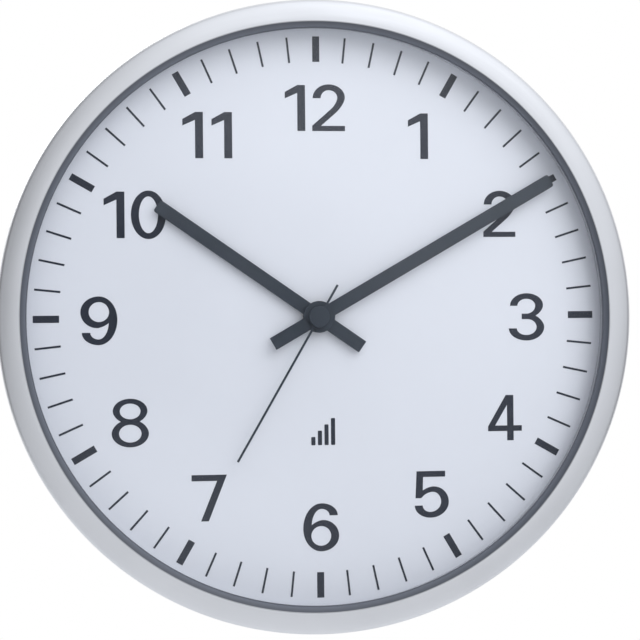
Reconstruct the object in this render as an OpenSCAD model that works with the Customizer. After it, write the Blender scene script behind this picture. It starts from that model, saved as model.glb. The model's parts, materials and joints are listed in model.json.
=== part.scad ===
// Radio-controlled wall clock: a round case with a metal rim, hung on a wall by a keyhole.
// Pieces are drawn in the dial's own frame: X to the right and Y up on the dial, Z out of the wall,
// with the hands turning about X 0, Y 0 and the wall at Z 0.
// on_wall() stands the clock upright with its origin at the keyhole.

/* [Case] */
// Outside diameter of the metal rim
case_d = 300; // [298:1:304]
// Width of the rim's bright face
rim_face = 10.8; // [9:0.1:11.5]
// Thickness of the rim's side wall
rim_wall = 2.2; // [1.6:0.1:2.4]
// Thickness of the front glass
glass_t = 2; // [1.5:0.1:2.5]
// Free height between the dial and the glass
glass_gap = 10.9; // [10.6:0.1:13]
// Height of the keyhole above the hands' axis
hang_up = 105; // [98:1:110]
// Diameter of the keyhole's round end
keyhole_d = 9; // [8:0.5:10]
// Width of the keyhole's slot
keyhole_slot = 4.2; // [3.5:0.1:5]

/* [Dial] */
// Diameter of the circle through the middles of the bars
track_d = 259; // [250:1:260]
// Length of the hour and minute bars
bar_len = 12.3; // [8:0.1:13]
// Width of the twelve hour bars
hour_bar_w = 3.4; // [2:0.1:5]
// Width of the minute bars
minute_bar_w = 1; // [0.6:0.1:1.6]

/* [Hands] */
// Width of the hour and minute hands
hand_w = 6.4; // [4:0.1:8]
// Length of the hour hand from the axis to its tip
hour_len = 93.5; // [70:0.5:100]
// Length of the minute hand from the axis to its tip
minute_len = 131; // [110:0.5:134]
// Length of the second hand from the axis to its tip
second_len = 79; // [60:0.5:130]
// Length of the tails behind the axis
tail_len = 25.6; // [15:0.1:30]
// Length of the second hand's tail
second_tail = 17.5; // [10:0.1:30]
// Width of the second hand
second_w = 1.1; // [0.8:0.1:2]
// Diameter of the round middle of the hour and minute hands
boss_d = 15.2; // [14.4:0.1:18]
// Diameter of the cap on the second hand
cap_d = 10.3; // [8:0.1:13]
// Where the hour hand points, in degrees clockwise from twelve
hour_angle = 305; // [0:1:359]
// Where the minute hand points
minute_angle = 60; // [0:1:359]
// Where the second hand points
second_angle = 210; // [0:1:359]

/* [Movement] */
// Diameter of the threaded bush that holds the movement to the dial
bush_d = 8; // [7.6:0.1:8.4]
// Width of the hexagon nut across its corners
nut_corners = 12.7; // [12:0.1:14]
// Diameter of the battery
battery_d = 14.2; // [13.5:0.1:14.5]
// Diameter of the ferrite aerial rod
rod_d = 8; // [7:0.1:8.2]
// Length of the ferrite aerial rod
rod_len = 58; // [50:1:60]
// Diameter of the buttons' stems
button_d = 4; // [3:0.1:4.4]

/* [Hidden] */
$fn = 96;

// Heights above the wall
pan_back_z = 2;
pan_t = 2;
rim_back_z = 1.5;
hanger_t = 1.2;
hanger_z = pan_back_z - hanger_t;
movement_z = 4;
split_z = 14;
movement_top_z = 22;
plate_t = 2;
dial_t = 1;
dial_z = movement_top_z + plate_t + dial_t;
print_t = 0.1;
glass_z = dial_z + glass_gap;
gasket_z = glass_z + glass_t;
gasket_t = 0.6;
lip_z = gasket_z + gasket_t;
crest_z = lip_z + 2.5;

// Rim section: a domed face, a rounded outer edge and a bevel that leads in to the glass
rim_r = case_d / 2;
dome_r = 30;
dome_at = [rim_r - 8.8, crest_z - dome_r];
edge_r = 2.6;
edge_x = rim_r - edge_r;
edge_z = dome_at.y + sqrt(pow(dome_r - edge_r, 2) - pow(edge_x - dome_at.x, 2));
dome_end = dome_at.x + (edge_x - dome_at.x) * dome_r / (dome_r - edge_r);
mouth_r = rim_r - rim_face;
mouth_z = dome_at.y + sqrt(pow(dome_r, 2) - pow(dome_at.x - mouth_r, 2));
throat_r = mouth_r - 2.3;
pocket_r = rim_r - rim_wall;
pocket_corner = 1.2;
glass_r = pocket_r - 1.3;
gasket_in_r = throat_r - 0.5;

// Ring between dial and glass, and the ring and plate behind the dial
ring_in_r = 139.6;
ring_out_r = pocket_r - 0.3;
ring_wall = 1.8;
ring_flange_front = 1.8;
ring_flange_back = 2;
dial_r = ring_in_r + 1.6;
post_r = 2.9;
post_at = ring_out_r - post_r - 0.2;
post_turn = 30;
post_end_z = 9.5;
pan_flange_t = 2;
pan_tube_r = 136.5;
ledge_r = 131.5;
ledge_t = 1.5;
back_plate_r = pan_tube_r - pan_t - 0.1;
pan_screw_r = 1.15;
pan_screw_count = 6;
pan_head_r = 2.6;
pan_head_h = 1.9;
bead_r = 0.65;
bead_z = post_end_z - pan_flange_t - bead_r - 0.05;
window_w = 86;
window_y = [-48, 44];
window_corner = 6;

// Keyhole plate
keyhole_rise = 10;
hanger_w = 44;
hanger_y = [hang_up - 9, hang_up + 17];
hanger_screw_at = [17, 4.5, 13];
hanger_screw_r = 1;
hanger_head_r = 2.2;
hanger_boss_r = 3;
hanger_boss_h = 7;
cutout_w = 18;

// Bumpers
bumper_r = 5.5;
bumper_at = 118;
bumper_angles = [210, 270, 330];

// Hands: heights, thickness and the tubes that carry them
hand_t = 0.8;
hour_hand_z = dial_z + 3.5;
minute_hand_z = dial_z + 6;
second_hand_z = dial_z + 8.3;
second_t = 0.4;
cap_h = 1.3;
cap_edge = 0.5;
collet_r = 1.2;
tip_corner = 1.2;
second_tip_corner = 0.3;
second_middle_r = 3;
arbor_r = 0.5;
minute_tube_r = 1.3;
hour_tube_r = 2.4;
run_gap = 0.05;
bush_top_z = dial_z + 3;
washer_t = 0.4;
washer_r = 6.6;
nut_t = 1.8;

// Movement shells
shell_t = 1.5;
box_x = 37;
box_y = [-23.4, 37.5];
box_corner = 3;
trough_x = 30.5;
trough_y = -41.5;
bay_x = 28.5;
bay_y = [-40, -25];
inner_z = movement_z + shell_t;
inner_top_z = movement_top_z - shell_t;
boss_spots = [[33.7, 34.2], [-33.7, 34.2], [14.5, -20.4], [-14.5, -20.4]];
boss_r = 2.6;
case_screw_r = 0.9;
case_head_r = 2;
case_head_h = 1.3;
socket_deep = 0.9;

// Gears: modules and teeth, with centre distances that follow from them
train_mod = 0.4;
cannon_mod = 0.5;
hour_mod = 0.48;
wheel_teeth = 60;
pinion_teeth = 12;
small_teeth = 10;
motion_teeth = 36;
hour_teeth = 40;
pin_r = 0.4;
stud_r = 0.6;
hub_r = 1.4;
neck_r = 1;

// Tooth shape: half widths as shares of the pitch at root, pitch circle and tip
wheel_tooth = [0.28, 0.23, 0.11];
pinion_tooth = [0.235, 0.215, 0.08];
tooth_up = 0.9;
tooth_down = 1.2;

// Heights of wheels, pinions, hubs and magnets, each from its lowest to its highest
second_wheel_z = [10, 10.8];
second_hub_z = [9.7, 11.3];
third_wheel_z = [11.8, 12.4];
third_hub_z = [11.2, 13];
second_third_pinion_z = [9.6, 11.2];
minute_third_pinion_z = [13, 14.6];
first_pinion_z = [11.4, 12.8];
first_hub_z = [12.8, 16.6];
first_wheel_z = [15.2, 16];
second_magnet_z = [14, 16.8];
minute_magnet_z = [8.9, 11.5];
minute_rotor_pinion_z = [14.8, 16.4];
centre_wheel_z = [13.4, 14.2];
centre_hub_z = [13.1, 15.5];
centre_hub_r = 2.2;
cannon_pinion_z = [15.5, 17.2];
motion_wheel_z = [15.8, 16.8];
motion_pinion_z = [16.8, 19.4];
hour_wheel_z = [18, 19];

function pitch_r(teeth, mod) = teeth * mod / 2;
function spread(a, b, mod) = (a + b) * mod / 2;
function step_to(from, dist, dir) = from + dist * [cos(dir), sin(dir)];
// The turn that puts the second gear's gap on the first gear's tooth, along direction dir
function mesh_turn(a, turn_a, b, dir) = dir + 180 - (360 / b) * (0.5 - a * (dir - turn_a) / 360);

third_dir = 180;
second_rotor_dir = 125;
minute_third_dir = 0;
minute_first_dir = 105;
minute_rotor_dir = 10;
motion_dir = 270;
second_third_at = step_to([0, 0], spread(wheel_teeth, pinion_teeth, train_mod), third_dir);
second_rotor_at = step_to(second_third_at, spread(wheel_teeth, small_teeth, train_mod), second_rotor_dir);
minute_third_at = step_to([0, 0], spread(wheel_teeth, pinion_teeth, train_mod), minute_third_dir);
minute_first_at = step_to(minute_third_at, spread(wheel_teeth, small_teeth, train_mod), minute_first_dir);
minute_rotor_at = step_to(minute_first_at, spread(wheel_teeth, small_teeth, train_mod), minute_rotor_dir);
motion_at = step_to([0, 0], spread(pinion_teeth, motion_teeth, cannon_mod), motion_dir);
arbor_spots = [second_third_at, second_rotor_at, minute_third_at, minute_first_at, minute_rotor_at];

// Electric parts
board_z = 8.2;
board_t = 1;
board_x = [-34.5, 17];
board_y = [-21, 25.5];
board_post_r = 1.2;
board_post_spots = [[-32, 23], [14.5, 22.5], [-31.5, -19], [3, -19]];
chip_low = [-32, 15];
chip_size = [7, 7, 1.2];
crystal_at = [2, 22];
crystal_r = 1;
crystal_len = 6;
button_spots = [[-26, -15], [-18, -15], [-10, -15]];
button_z = 2.6;
button_flange_z = inner_z + 0.1;
button_flange_t = 0.8;
dome_t = 0.5;
rod_at = [31.2, 12.5];
coil_len = 22;
cradle_x = 20;
cradle_t = 1.6;
magnet_r = 2.7;
stator_hole_r = 3.4;
stator_t = 0.8;
stator_leg_x = [19.2, 22.6];
stator_foot_h = 3.8;
iron_low_y = -21.5;
iron_out_x = 34;
second_stator_z = 15;
minute_stator_z = 9.8;
core_x = [29.4, 33.2];
coil_x = 31.3;
coil_y = [-17, 6.4];
bobbin_r = 3.4;
cheek_t = 0.8;
spool = [5, 2];
battery_at = [-32.5, 12.9];
battery_x = [-24, 25];
nub_r = 2.7;
nub_len = 1.5;
contact_t = 0.5;
contact_w = 11;
contact_z = [6, 19];

// Turns what is drawn in the dial's frame to hang on a wall from the keyhole
module on_wall() {
    translate([0, hanger_z, -hang_up])
        rotate([90, 0, 0])
            children();
}

// A tube or, with a bore of 0, a plain disc, from height z0 to z1
module drum(r, z0, z1, bore = 0) {
    translate([0, 0, z0])
        difference() {
            cylinder(r = r, h = z1 - z0);
            if (bore > 0)
                translate([0, 0, -1])
                    cylinder(r = bore, h = z1 - z0 + 2);
        }
}

module slab(z0, z1) {
    translate([0, 0, z0])
        linear_extrude(height = z1 - z0)
            children();
}

// A plain block between two corners
module block(low, high) {
    translate(low)
        cube(high - low);
}

// A rectangle with round corners, from its lowest to its highest corner
module soft_rect(low, high, r) {
    translate([low.x + r, low.y])
        square([high.x - low.x - 2 * r, high.y - low.y]);
    translate([low.x, low.y + r])
        square([high.x - low.x, high.y - low.y - 2 * r]);
    for (x = [low.x + r, high.x - r], y = [low.y + r, high.y - r])
        translate([x, y])
            circle(r = r);
}

module at(spots) {
    for (p = spots)
        translate([p.x, p.y, 0])
            children();
}

module around(count, r, start = 0) {
    for (i = [0:count - 1])
        rotate([0, 0, start + i * 360 / count])
            translate([r, 0, 0])
                children();
}

// A toothed outline: each tooth rises from its root by way of the pitch circle to its tip
module teeth_outline(teeth, mod, turn, tooth) {
    r = pitch_r(teeth, mod);
    step = 360 / teeth;
    radii = [r - tooth_down * mod, r, r + tooth_up * mod, r + tooth_up * mod, r, r - tooth_down * mod];
    shares = [-tooth[0], -tooth[1], -tooth[2], tooth[2], tooth[1], tooth[0]];
    polygon([
        for (i = [0:teeth - 1], k = [0:5])
            let (a = turn + (i + shares[k]) * step)
                radii[k] * [cos(a), sin(a)]
    ]);
}

// A wheel with five round holes that lighten it
module wheel(teeth, mod, z) {
    slab(z[0], z[1])
        difference() {
            teeth_outline(teeth, mod, 0, wheel_tooth);
            around(5, pitch_r(teeth, mod) * 0.56, 36)
                circle(r = pitch_r(teeth, mod) * 0.2);
        }
}

module pinion(teeth, mod, z, turn = 0) {
    slab(z[0], z[1])
        teeth_outline(teeth, mod, turn, pinion_tooth);
}

// The thin steel pin that runs from the back shell's socket to the front shell's socket
module arbor() {
    drum(pin_r, inner_z - socket_deep + 0.3, inner_top_z + socket_deep - 0.2);
}

module rim_section() {
    difference() {
        union() {
            intersection() {
                translate(dome_at)
                    circle(r = dome_r);
                translate([mouth_r, lip_z])
                    square([dome_end - mouth_r, dome_r]);
            }
            translate([edge_x, edge_z])
                circle(r = edge_r);
            translate([edge_x - 1, rim_back_z])
                square([edge_r + 1, edge_z - rim_back_z]);
            polygon([[mouth_r, mouth_z], [throat_r, lip_z + 0.6], [throat_r, lip_z], [mouth_r, lip_z]]);
        }
        polygon([
            [throat_r - 3, rim_back_z - 1], [pocket_r, rim_back_z - 1], [pocket_r, lip_z - pocket_corner],
            [pocket_r - pocket_corner, lip_z], [throat_r - 3, lip_z]
        ]);
    }
    // Bead that the back ring's flange snaps over
    translate([pocket_r + 0.1, bead_z])
        circle(r = bead_r, $fn = 32);
}

module rim() {
    color("gainsboro")
        on_wall()
            rotate_extrude($fn = 180)
                rim_section();
}

module lens() {
    color([0.85, 0.9, 0.92, 0.3])
        on_wall()
            drum(glass_r, glass_z, glass_z + glass_t);
}

module lens_gasket() {
    color("dimgray")
        on_wall()
            drum(glass_r - 0.3, gasket_z, lip_z, gasket_in_r);
}

// Channel-shaped ring with six posts that the pan is screwed to
module spacer_ring() {
    color("silver")
        on_wall()
            difference() {
                union() {
                    drum(ring_in_r + ring_wall, dial_z, glass_z, ring_in_r);
                    drum(ring_out_r, dial_z, dial_z + ring_flange_back, ring_in_r);
                    drum(ring_out_r, glass_z - ring_flange_front, glass_z, ring_in_r);
                    around(pan_screw_count, post_at, post_turn)
                        drum(post_r, post_end_z, dial_z + ring_flange_back);
                }
                around(pan_screw_count, post_at, post_turn)
                    drum(pan_screw_r, post_end_z - 1, dial_z - 3);
            }
}

module dial() {
    color("white")
        on_wall()
            drum(dial_r, dial_z - dial_t, dial_z, bush_d / 2 + 0.1);
}

// Printed bars: twelve wide ones for the hours, four narrow ones between them
module dial_print() {
    color("darkslategray")
        on_wall()
            for (i = [0:59])
                rotate([0, 0, 90 - 6 * i])
                    let (w = i % 5 == 0 ? hour_bar_w : minute_bar_w)
                        block([track_d / 2 - bar_len / 2, -w / 2, dial_z],
                            [track_d / 2 + bar_len / 2, w / 2, dial_z + print_t]);
}

module dial_plate() {
    color("dimgray")
        on_wall()
            drum(dial_r, movement_top_z, movement_top_z + plate_t, bush_d / 2 + 0.1);
}

// Ring behind the dial: a tube with a flange for the screws and a ledge for the back plate
module back_ring() {
    color("gray")
        on_wall()
            difference() {
                union() {
                    drum(pan_tube_r, pan_back_z, movement_top_z, pan_tube_r - pan_t);
                    drum(ring_out_r, post_end_z - pan_flange_t, post_end_z, pan_tube_r - pan_t / 2);
                    drum(pan_tube_r - pan_t / 2, pan_back_z + pan_t, pan_back_z + pan_t + ledge_t, ledge_r);
                }
                around(pan_screw_count, post_at, post_turn)
                    drum(pan_screw_r + 0.35, post_end_z - pan_flange_t - 1, post_end_z + 1);
            }
}

// Flat back that is cemented to the ring's ledge, with a window for the movement
module back_plate() {
    color("gray")
        on_wall()
            difference() {
                union() {
                    drum(back_plate_r, pan_back_z, pan_back_z + pan_t);
                    at(hanger_screw_spots())
                        drum(hanger_boss_r, pan_back_z, pan_back_z + hanger_boss_h);
                }
                slab(pan_back_z - 1, pan_back_z + pan_t + 1)
                    soft_rect([-window_w / 2, window_y[0]], [window_w / 2, window_y[1]], window_corner);
                slab(pan_back_z - 1, pan_back_z + pan_t + 1)
                    soft_rect([-cutout_w / 2, hanger_y[0] + 1.5], [cutout_w / 2, hanger_y[1] - 1.5], 3);
                at(hanger_screw_spots())
                    drum(hanger_screw_r, pan_back_z - 1, pan_back_z + hanger_boss_h - 1);
            }
}

module pan_screws() {
    color("silver")
        on_wall()
            around(pan_screw_count, post_at, post_turn) {
                drum(pan_screw_r, post_end_z - pan_flange_t, dial_z - 4);
                difference() {
                    drum(pan_head_r, post_end_z - pan_flange_t - pan_head_h, post_end_z - pan_flange_t);
                    cross_slot(post_end_z - pan_flange_t - pan_head_h, 1);
                }
            }
}

// Cross recess of a screw head, cut into the face at height z
module cross_slot(z, deep) {
    for (a = [0, 90])
        rotate([0, 0, a])
            block([-1.4, -0.35, z - 1], [1.4, 0.35, z + deep]);
}

function hanger_screw_spots() = [
    for (x = [-hanger_screw_at[0], hanger_screw_at[0]], y = [-hanger_screw_at[1], hanger_screw_at[2]])
        [x, hang_up + y]
];

module hanger_plate() {
    color("lightsteelblue")
        on_wall()
            difference() {
                slab(hanger_z, pan_back_z)
                    difference() {
                        soft_rect([-hanger_w / 2, hanger_y[0]], [hanger_w / 2, hanger_y[1]], 3);
                        translate([0, hang_up])
                            circle(d = keyhole_d);
                        translate([-keyhole_slot / 2, hang_up])
                            square([keyhole_slot, keyhole_rise]);
                        translate([0, hang_up + keyhole_rise])
                            circle(d = keyhole_slot);
                    }
                at(hanger_screw_spots())
                    translate([0, 0, hanger_z - 0.01])
                        cylinder(r1 = hanger_head_r, r2 = hanger_screw_r, h = hanger_t + 0.02);
            }
}

module hanger_screws() {
    color("silver")
        on_wall()
            at(hanger_screw_spots())
                difference() {
                    union() {
                        translate([0, 0, hanger_z])
                            cylinder(r1 = hanger_head_r - 0.05, r2 = hanger_screw_r, h = hanger_t - 0.05);
                        drum(hanger_screw_r, hanger_z + 0.6, pan_back_z + 5);
                    }
                    cross_slot(hanger_z, 0.5);
                }
}

module wall_bumpers() {
    color("dimgray")
        on_wall()
            for (a = bumper_angles)
                rotate([0, 0, a])
                    translate([bumper_at, 0, 0]) {
                        drum(bumper_r, 0.5, pan_back_z);
                        cylinder(r1 = bumper_r - 0.5, r2 = bumper_r, h = 0.5);
                    }
}

module bush_washer() {
    color("goldenrod")
        on_wall()
            drum(washer_r, dial_z, dial_z + washer_t, bush_d / 2 + 0.1);
}

module bush_nut() {
    color("goldenrod")
        on_wall()
            translate([0, 0, dial_z + washer_t])
                difference() {
                    cylinder(d = nut_corners, h = nut_t, $fn = 6);
                    translate([0, 0, -1])
                        cylinder(d = bush_d, h = nut_t + 2);
                }
}

// A straight hand that points to twelve before it is turned, its tip's corners rounded
module hand_outline(len, tail, w, corner, middle_r) {
    translate([-w / 2, -tail])
        square([w, len + tail - corner]);
    translate([-w / 2 + corner, len - corner - 0.1])
        square([w - 2 * corner, corner + 0.1]);
    for (x = [-w / 2 + corner, w / 2 - corner])
        translate([x, len - corner])
            circle(r = corner, $fn = 32);
    circle(r = middle_r);
}

module hour_hand() {
    color("darkslategray")
        on_wall()
            slab(hour_hand_z, hour_hand_z + hand_t)
                difference() {
                    rotate([0, 0, -hour_angle])
                        hand_outline(hour_len, tail_len, hand_w, tip_corner, boss_d / 2);
                    circle(r = hour_tube_r);
                }
}

module minute_hand() {
    color("darkslategray")
        on_wall()
            slab(minute_hand_z, minute_hand_z + hand_t)
                difference() {
                    rotate([0, 0, -minute_angle])
                        hand_outline(minute_len, tail_len, hand_w, tip_corner, boss_d / 2);
                    circle(r = minute_tube_r);
                }
}

module second_hand() {
    color("darkslategray")
        on_wall()
            slab(second_hand_z, second_hand_z + second_t)
                difference() {
                    rotate([0, 0, -second_angle])
                        hand_outline(second_len, second_tail, second_w, second_tip_corner,
                            second_middle_r);
                    circle(r = arbor_r);
                }
}

module second_collet() {
    color("goldenrod")
        on_wall()
            drum(collet_r, minute_hand_z + hand_t + 0.5, second_hand_z, arbor_r);
}

module second_cap() {
    low = second_hand_z + second_t;
    color("darkslategray")
        on_wall()
            difference() {
                union() {
                    drum(cap_d / 2, low, low + cap_h - cap_edge);
                    drum(cap_d / 2 - cap_edge, low, low + cap_h);
                    translate([0, 0, low + cap_h - cap_edge])
                        rotate_extrude()
                            translate([cap_d / 2 - cap_edge, 0])
                                circle(r = cap_edge, $fn = 24);
                }
                drum(arbor_r, low - 1, low + 0.5);
            }
}

module box_rect(inset) {
    soft_rect([-box_x + inset, box_y[0] + inset], [box_x - inset, box_y[1] - inset], box_corner - inset);
}

module movement_front() {
    color("whitesmoke")
        on_wall()
            difference() {
                union() {
                    slab(inner_top_z, movement_top_z)
                        box_rect(0);
                    slab(split_z, movement_top_z)
                        difference() {
                            box_rect(0);
                            box_rect(shell_t);
                        }
                    drum(bush_d / 2, inner_top_z, bush_top_z);
                    at(boss_spots)
                        drum(boss_r, split_z, movement_top_z);
                    at([motion_at])
                        drum(stud_r, motion_wheel_z[0] - 0.5, movement_top_z);
                }
                drum(hour_tube_r + run_gap, inner_top_z - 1, bush_top_z + 1);
                at(arbor_spots)
                    drum(pin_r + run_gap, inner_top_z - 1, inner_top_z + socket_deep);
                at(boss_spots)
                    drum(case_screw_r, split_z - 1, inner_top_z);
            }
}

module movement_back() {
    color("whitesmoke")
        on_wall()
            difference() {
                union() {
                    slab(movement_z, inner_z)
                        box_rect(0);
                    slab(movement_z, split_z)
                        difference() {
                            box_rect(0);
                            box_rect(shell_t);
                        }
                    slab(movement_z, movement_top_z)
                        translate([-trough_x, trough_y])
                            square([2 * trough_x, box_y[0] - trough_y - 0.1]);
                    slab(movement_z, split_z)
                        translate([-trough_x, box_y[0] - 1])
                            square([2 * trough_x, 2]);
                    at(boss_spots)
                        drum(boss_r, movement_z, split_z);
                    board_posts();
                    rod_cradles();
                }
                block([-bay_x, bay_y[0], movement_z - 1], [bay_x, bay_y[1], movement_top_z - shell_t]);
                at(boss_spots) {
                    drum(case_screw_r + 0.2, movement_z - 1, split_z + 1);
                    drum(case_head_r + 0.1, movement_z - 1, movement_z + case_head_h);
                }
                at(button_spots)
                    drum(button_d / 2 + run_gap, movement_z - 1, inner_z + 1);
                at(arbor_spots)
                    drum(pin_r + run_gap, inner_z - socket_deep, inner_z + 1);
                drum(arbor_r + run_gap, inner_z - socket_deep, inner_z + 1);
            }
}

module board_posts() {
    at(board_post_spots)
        drum(board_post_r, movement_z, board_z);
}

module rod_cradles() {
    for (x = [-cradle_x, cradle_x])
        difference() {
            block([x - cradle_t / 2, rod_at[0] - 5.5, movement_z],
                [x + cradle_t / 2, rod_at[0] + 5.3, rod_at[1]]);
            translate([x, rod_at[0], rod_at[1]])
                rotate([0, 90, 0])
                    cylinder(d = rod_d, h = 4, center = true);
        }
}

module movement_screws() {
    color("silver")
        on_wall()
            at(boss_spots) {
                drum(case_screw_r, movement_z + case_head_h, inner_top_z - 1);
                difference() {
                    drum(case_head_r, movement_z + 0.2, movement_z + case_head_h);
                    cross_slot(movement_z + 0.2, 0.7);
                }
            }
}

module circuit_board() {
    color("seagreen")
        on_wall()
            difference() {
                block([board_x[0], board_y[0], board_z], [board_x[1], board_y[1], board_z + board_t]);
                at(concat(arbor_spots, [[0, 0]]))
                    drum(1, board_z - 1, board_z + board_t + 1);
                at(boss_spots)
                    drum(boss_r + 0.4, board_z - 1, board_z + board_t + 1);
            }
}

module controller_chip() {
    color("black")
        on_wall()
            translate([chip_low.x, chip_low.y, board_z + board_t])
                cube(chip_size);
}

module quartz_crystal() {
    color("silver")
        on_wall()
            translate([crystal_at.x, crystal_at.y, board_z + board_t + crystal_r])
                rotate([0, 90, 0])
                    cylinder(r = crystal_r, h = crystal_len);
}

module key_domes() {
    color("silver")
        on_wall()
            at(button_spots)
                drum(2.2, board_z - dome_t, board_z);
}

// A push button: a stem through the back shell, a flange that keeps it in and a short tip
module button(spot) {
    at([spot]) {
        drum(button_d / 2, button_z, button_flange_z);
        drum(button_d / 2 + 0.9, button_flange_z, button_flange_z + button_flange_t);
        drum(1.2, button_flange_z, button_flange_z + button_flange_t + 0.4);
    }
}

module button_receive() {
    color("tomato")
        on_wall()
            button(button_spots[0]);
}

module button_set() {
    color("lightgray")
        on_wall()
            button(button_spots[1]);
}

module button_reset() {
    color("lightgray")
        on_wall()
            button(button_spots[2]);
}

module aerial_rod() {
    color("dimgray")
        on_wall()
            translate([0, rod_at[0], rod_at[1]])
                rotate([0, 90, 0])
                    cylinder(d = rod_d, h = rod_len, center = true);
}

module aerial_coil() {
    color("orangered")
        on_wall()
            translate([0, rod_at[0], rod_at[1]])
                rotate([0, 90, 0])
                    difference() {
                        cylinder(r = rod_d / 2 + 0.7, h = coil_len, center = true);
                        cylinder(d = rod_d, h = coil_len + 2, center = true);
                    }
}

// What lies along Y beside the gears, at side -1 or 1 and height z
module coil_place(side, z) {
    translate([side * coil_x, coil_y[0], z])
        rotate([-90, 0, 0])
            children();
}

module bobbin(side, z) {
    len = coil_y[1] - coil_y[0];
    coil_place(side, z)
        difference() {
            union() {
                cylinder(r = bobbin_r, h = cheek_t);
                translate([0, 0, len - cheek_t])
                    cylinder(r = bobbin_r, h = cheek_t);
                translate([0, 0, len / 2])
                    cube([spool.x, spool.y, len], center = true);
            }
            translate([0, 0, len / 2])
                cube([core_x[1] - core_x[0], stator_t, len + 2], center = true);
        }
}

module winding(side, z) {
    len = coil_y[1] - coil_y[0] - 2 * cheek_t;
    coil_place(side, z)
        translate([0, 0, cheek_t])
            difference() {
                cylinder(r = bobbin_r - 0.3, h = len);
                translate([0, 0, len / 2])
                    cube([spool.x, spool.y, len + 2], center = true);
            }
}

second_core_z = second_stator_z - stator_t;
minute_core_z = minute_stator_z + stator_t;

module second_bobbin() {
    color("ivory")
        on_wall()
            bobbin(-1, second_core_z + stator_t / 2);
}

module minute_bobbin() {
    color("ivory")
        on_wall()
            bobbin(1, minute_core_z + stator_t / 2);
}

module second_winding() {
    color("orangered")
        on_wall()
            winding(-1, second_core_z + stator_t / 2);
}

module minute_winding() {
    color("orangered")
        on_wall()
            winding(1, minute_core_z + stator_t / 2);
}

module second_core() {
    color("slategray")
        on_wall()
            block([-core_x[1], iron_low_y, second_core_z], [-core_x[0], 15.6, second_core_z + stator_t]);
}

module minute_core() {
    color("slategray")
        on_wall()
            block([core_x[0], iron_low_y, minute_core_z], [core_x[1], 20, minute_core_z + stator_t]);
}

// A flat loop of iron round a rotor, closed by the coil's core. It is drawn on the right-hand side.
module stator(rotor, z) {
    slab(z, z + stator_t)
        difference() {
            union() {
                translate([rotor.x - 4.8, rotor.y - 4.4])
                    square([iron_out_x - rotor.x + 4.8, 8.8]);
                translate([stator_leg_x[0], iron_low_y])
                    square([stator_leg_x[1] - stator_leg_x[0], rotor.y - iron_low_y]);
                translate([stator_leg_x[0], iron_low_y])
                    square([iron_out_x - stator_leg_x[0], stator_foot_h]);
            }
            translate(rotor)
                circle(r = stator_hole_r);
        }
}

module second_stator() {
    color("slategray")
        on_wall()
            mirror([1, 0, 0])
                stator([-second_rotor_at.x, second_rotor_at.y], second_stator_z);
}

module minute_stator() {
    color("slategray")
        on_wall()
            stator(minute_rotor_at, minute_stator_z);
}

module second_rotor() {
    color("dimgray")
        on_wall()
            at([second_rotor_at]) {
                arbor();
                pinion(small_teeth, train_mod, first_pinion_z,
                    mesh_turn(wheel_teeth, 0, small_teeth, second_rotor_dir));
                drum(neck_r, first_pinion_z[1], second_magnet_z[0]);
                drum(magnet_r, second_magnet_z[0], second_magnet_z[1]);
            }
}

module minute_rotor() {
    color("dimgray")
        on_wall()
            at([minute_rotor_at]) {
                arbor();
                drum(magnet_r, minute_magnet_z[0], minute_magnet_z[1]);
                drum(neck_r, minute_magnet_z[1], minute_rotor_pinion_z[0]);
                pinion(small_teeth, train_mod, minute_rotor_pinion_z,
                    mesh_turn(wheel_teeth, 0, small_teeth, minute_rotor_dir));
            }
}

module second_third_wheel() {
    color("ivory")
        on_wall()
            at([second_third_at]) {
                arbor();
                pinion(pinion_teeth, train_mod, second_third_pinion_z,
                    mesh_turn(wheel_teeth, 0, pinion_teeth, third_dir));
                drum(hub_r, third_hub_z[0], third_hub_z[1]);
                wheel(wheel_teeth, train_mod, third_wheel_z);
            }
}

module second_wheel() {
    color("ivory")
        on_wall() {
            drum(arbor_r, inner_z - socket_deep + 0.2, second_hand_z + second_t + 0.4);
            drum(hub_r, second_hub_z[0], second_hub_z[1]);
            wheel(wheel_teeth, train_mod, second_wheel_z);
        }
}

module minute_first_wheel() {
    color("ivory")
        on_wall()
            at([minute_first_at]) {
                arbor();
                pinion(small_teeth, train_mod, first_pinion_z,
                    mesh_turn(wheel_teeth, 0, small_teeth, minute_first_dir));
                drum(hub_r, first_hub_z[0], first_hub_z[1]);
                wheel(wheel_teeth, train_mod, first_wheel_z);
            }
}

module minute_third_wheel() {
    color("ivory")
        on_wall()
            at([minute_third_at]) {
                arbor();
                drum(hub_r, third_hub_z[0], third_hub_z[1]);
                wheel(wheel_teeth, train_mod, third_wheel_z);
                pinion(pinion_teeth, train_mod, minute_third_pinion_z,
                    mesh_turn(wheel_teeth, 0, pinion_teeth, minute_third_dir));
            }
}

// The wheel under the minute hand, with its tube and the small pinion that drives the hour train
module centre_wheel() {
    color("wheat")
        on_wall()
            difference() {
                union() {
                    drum(minute_tube_r, centre_wheel_z[0], minute_hand_z + hand_t);
                    drum(centre_hub_r, centre_hub_z[0], centre_hub_z[1]);
                    wheel(wheel_teeth, train_mod, centre_wheel_z);
                    pinion(pinion_teeth, cannon_mod, cannon_pinion_z);
                }
                drum(arbor_r + run_gap, 12, minute_hand_z + 2);
            }
}

motion_turn = mesh_turn(pinion_teeth, 0, motion_teeth, motion_dir);

module motion_wheel() {
    color("wheat")
        on_wall()
            at([motion_at])
                difference() {
                    union() {
                        slab(motion_wheel_z[0], motion_wheel_z[1])
                            teeth_outline(motion_teeth, cannon_mod, motion_turn, wheel_tooth);
                        pinion(small_teeth, hour_mod, motion_pinion_z);
                    }
                    drum(stud_r + run_gap, 15, 20);
                }
}

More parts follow.
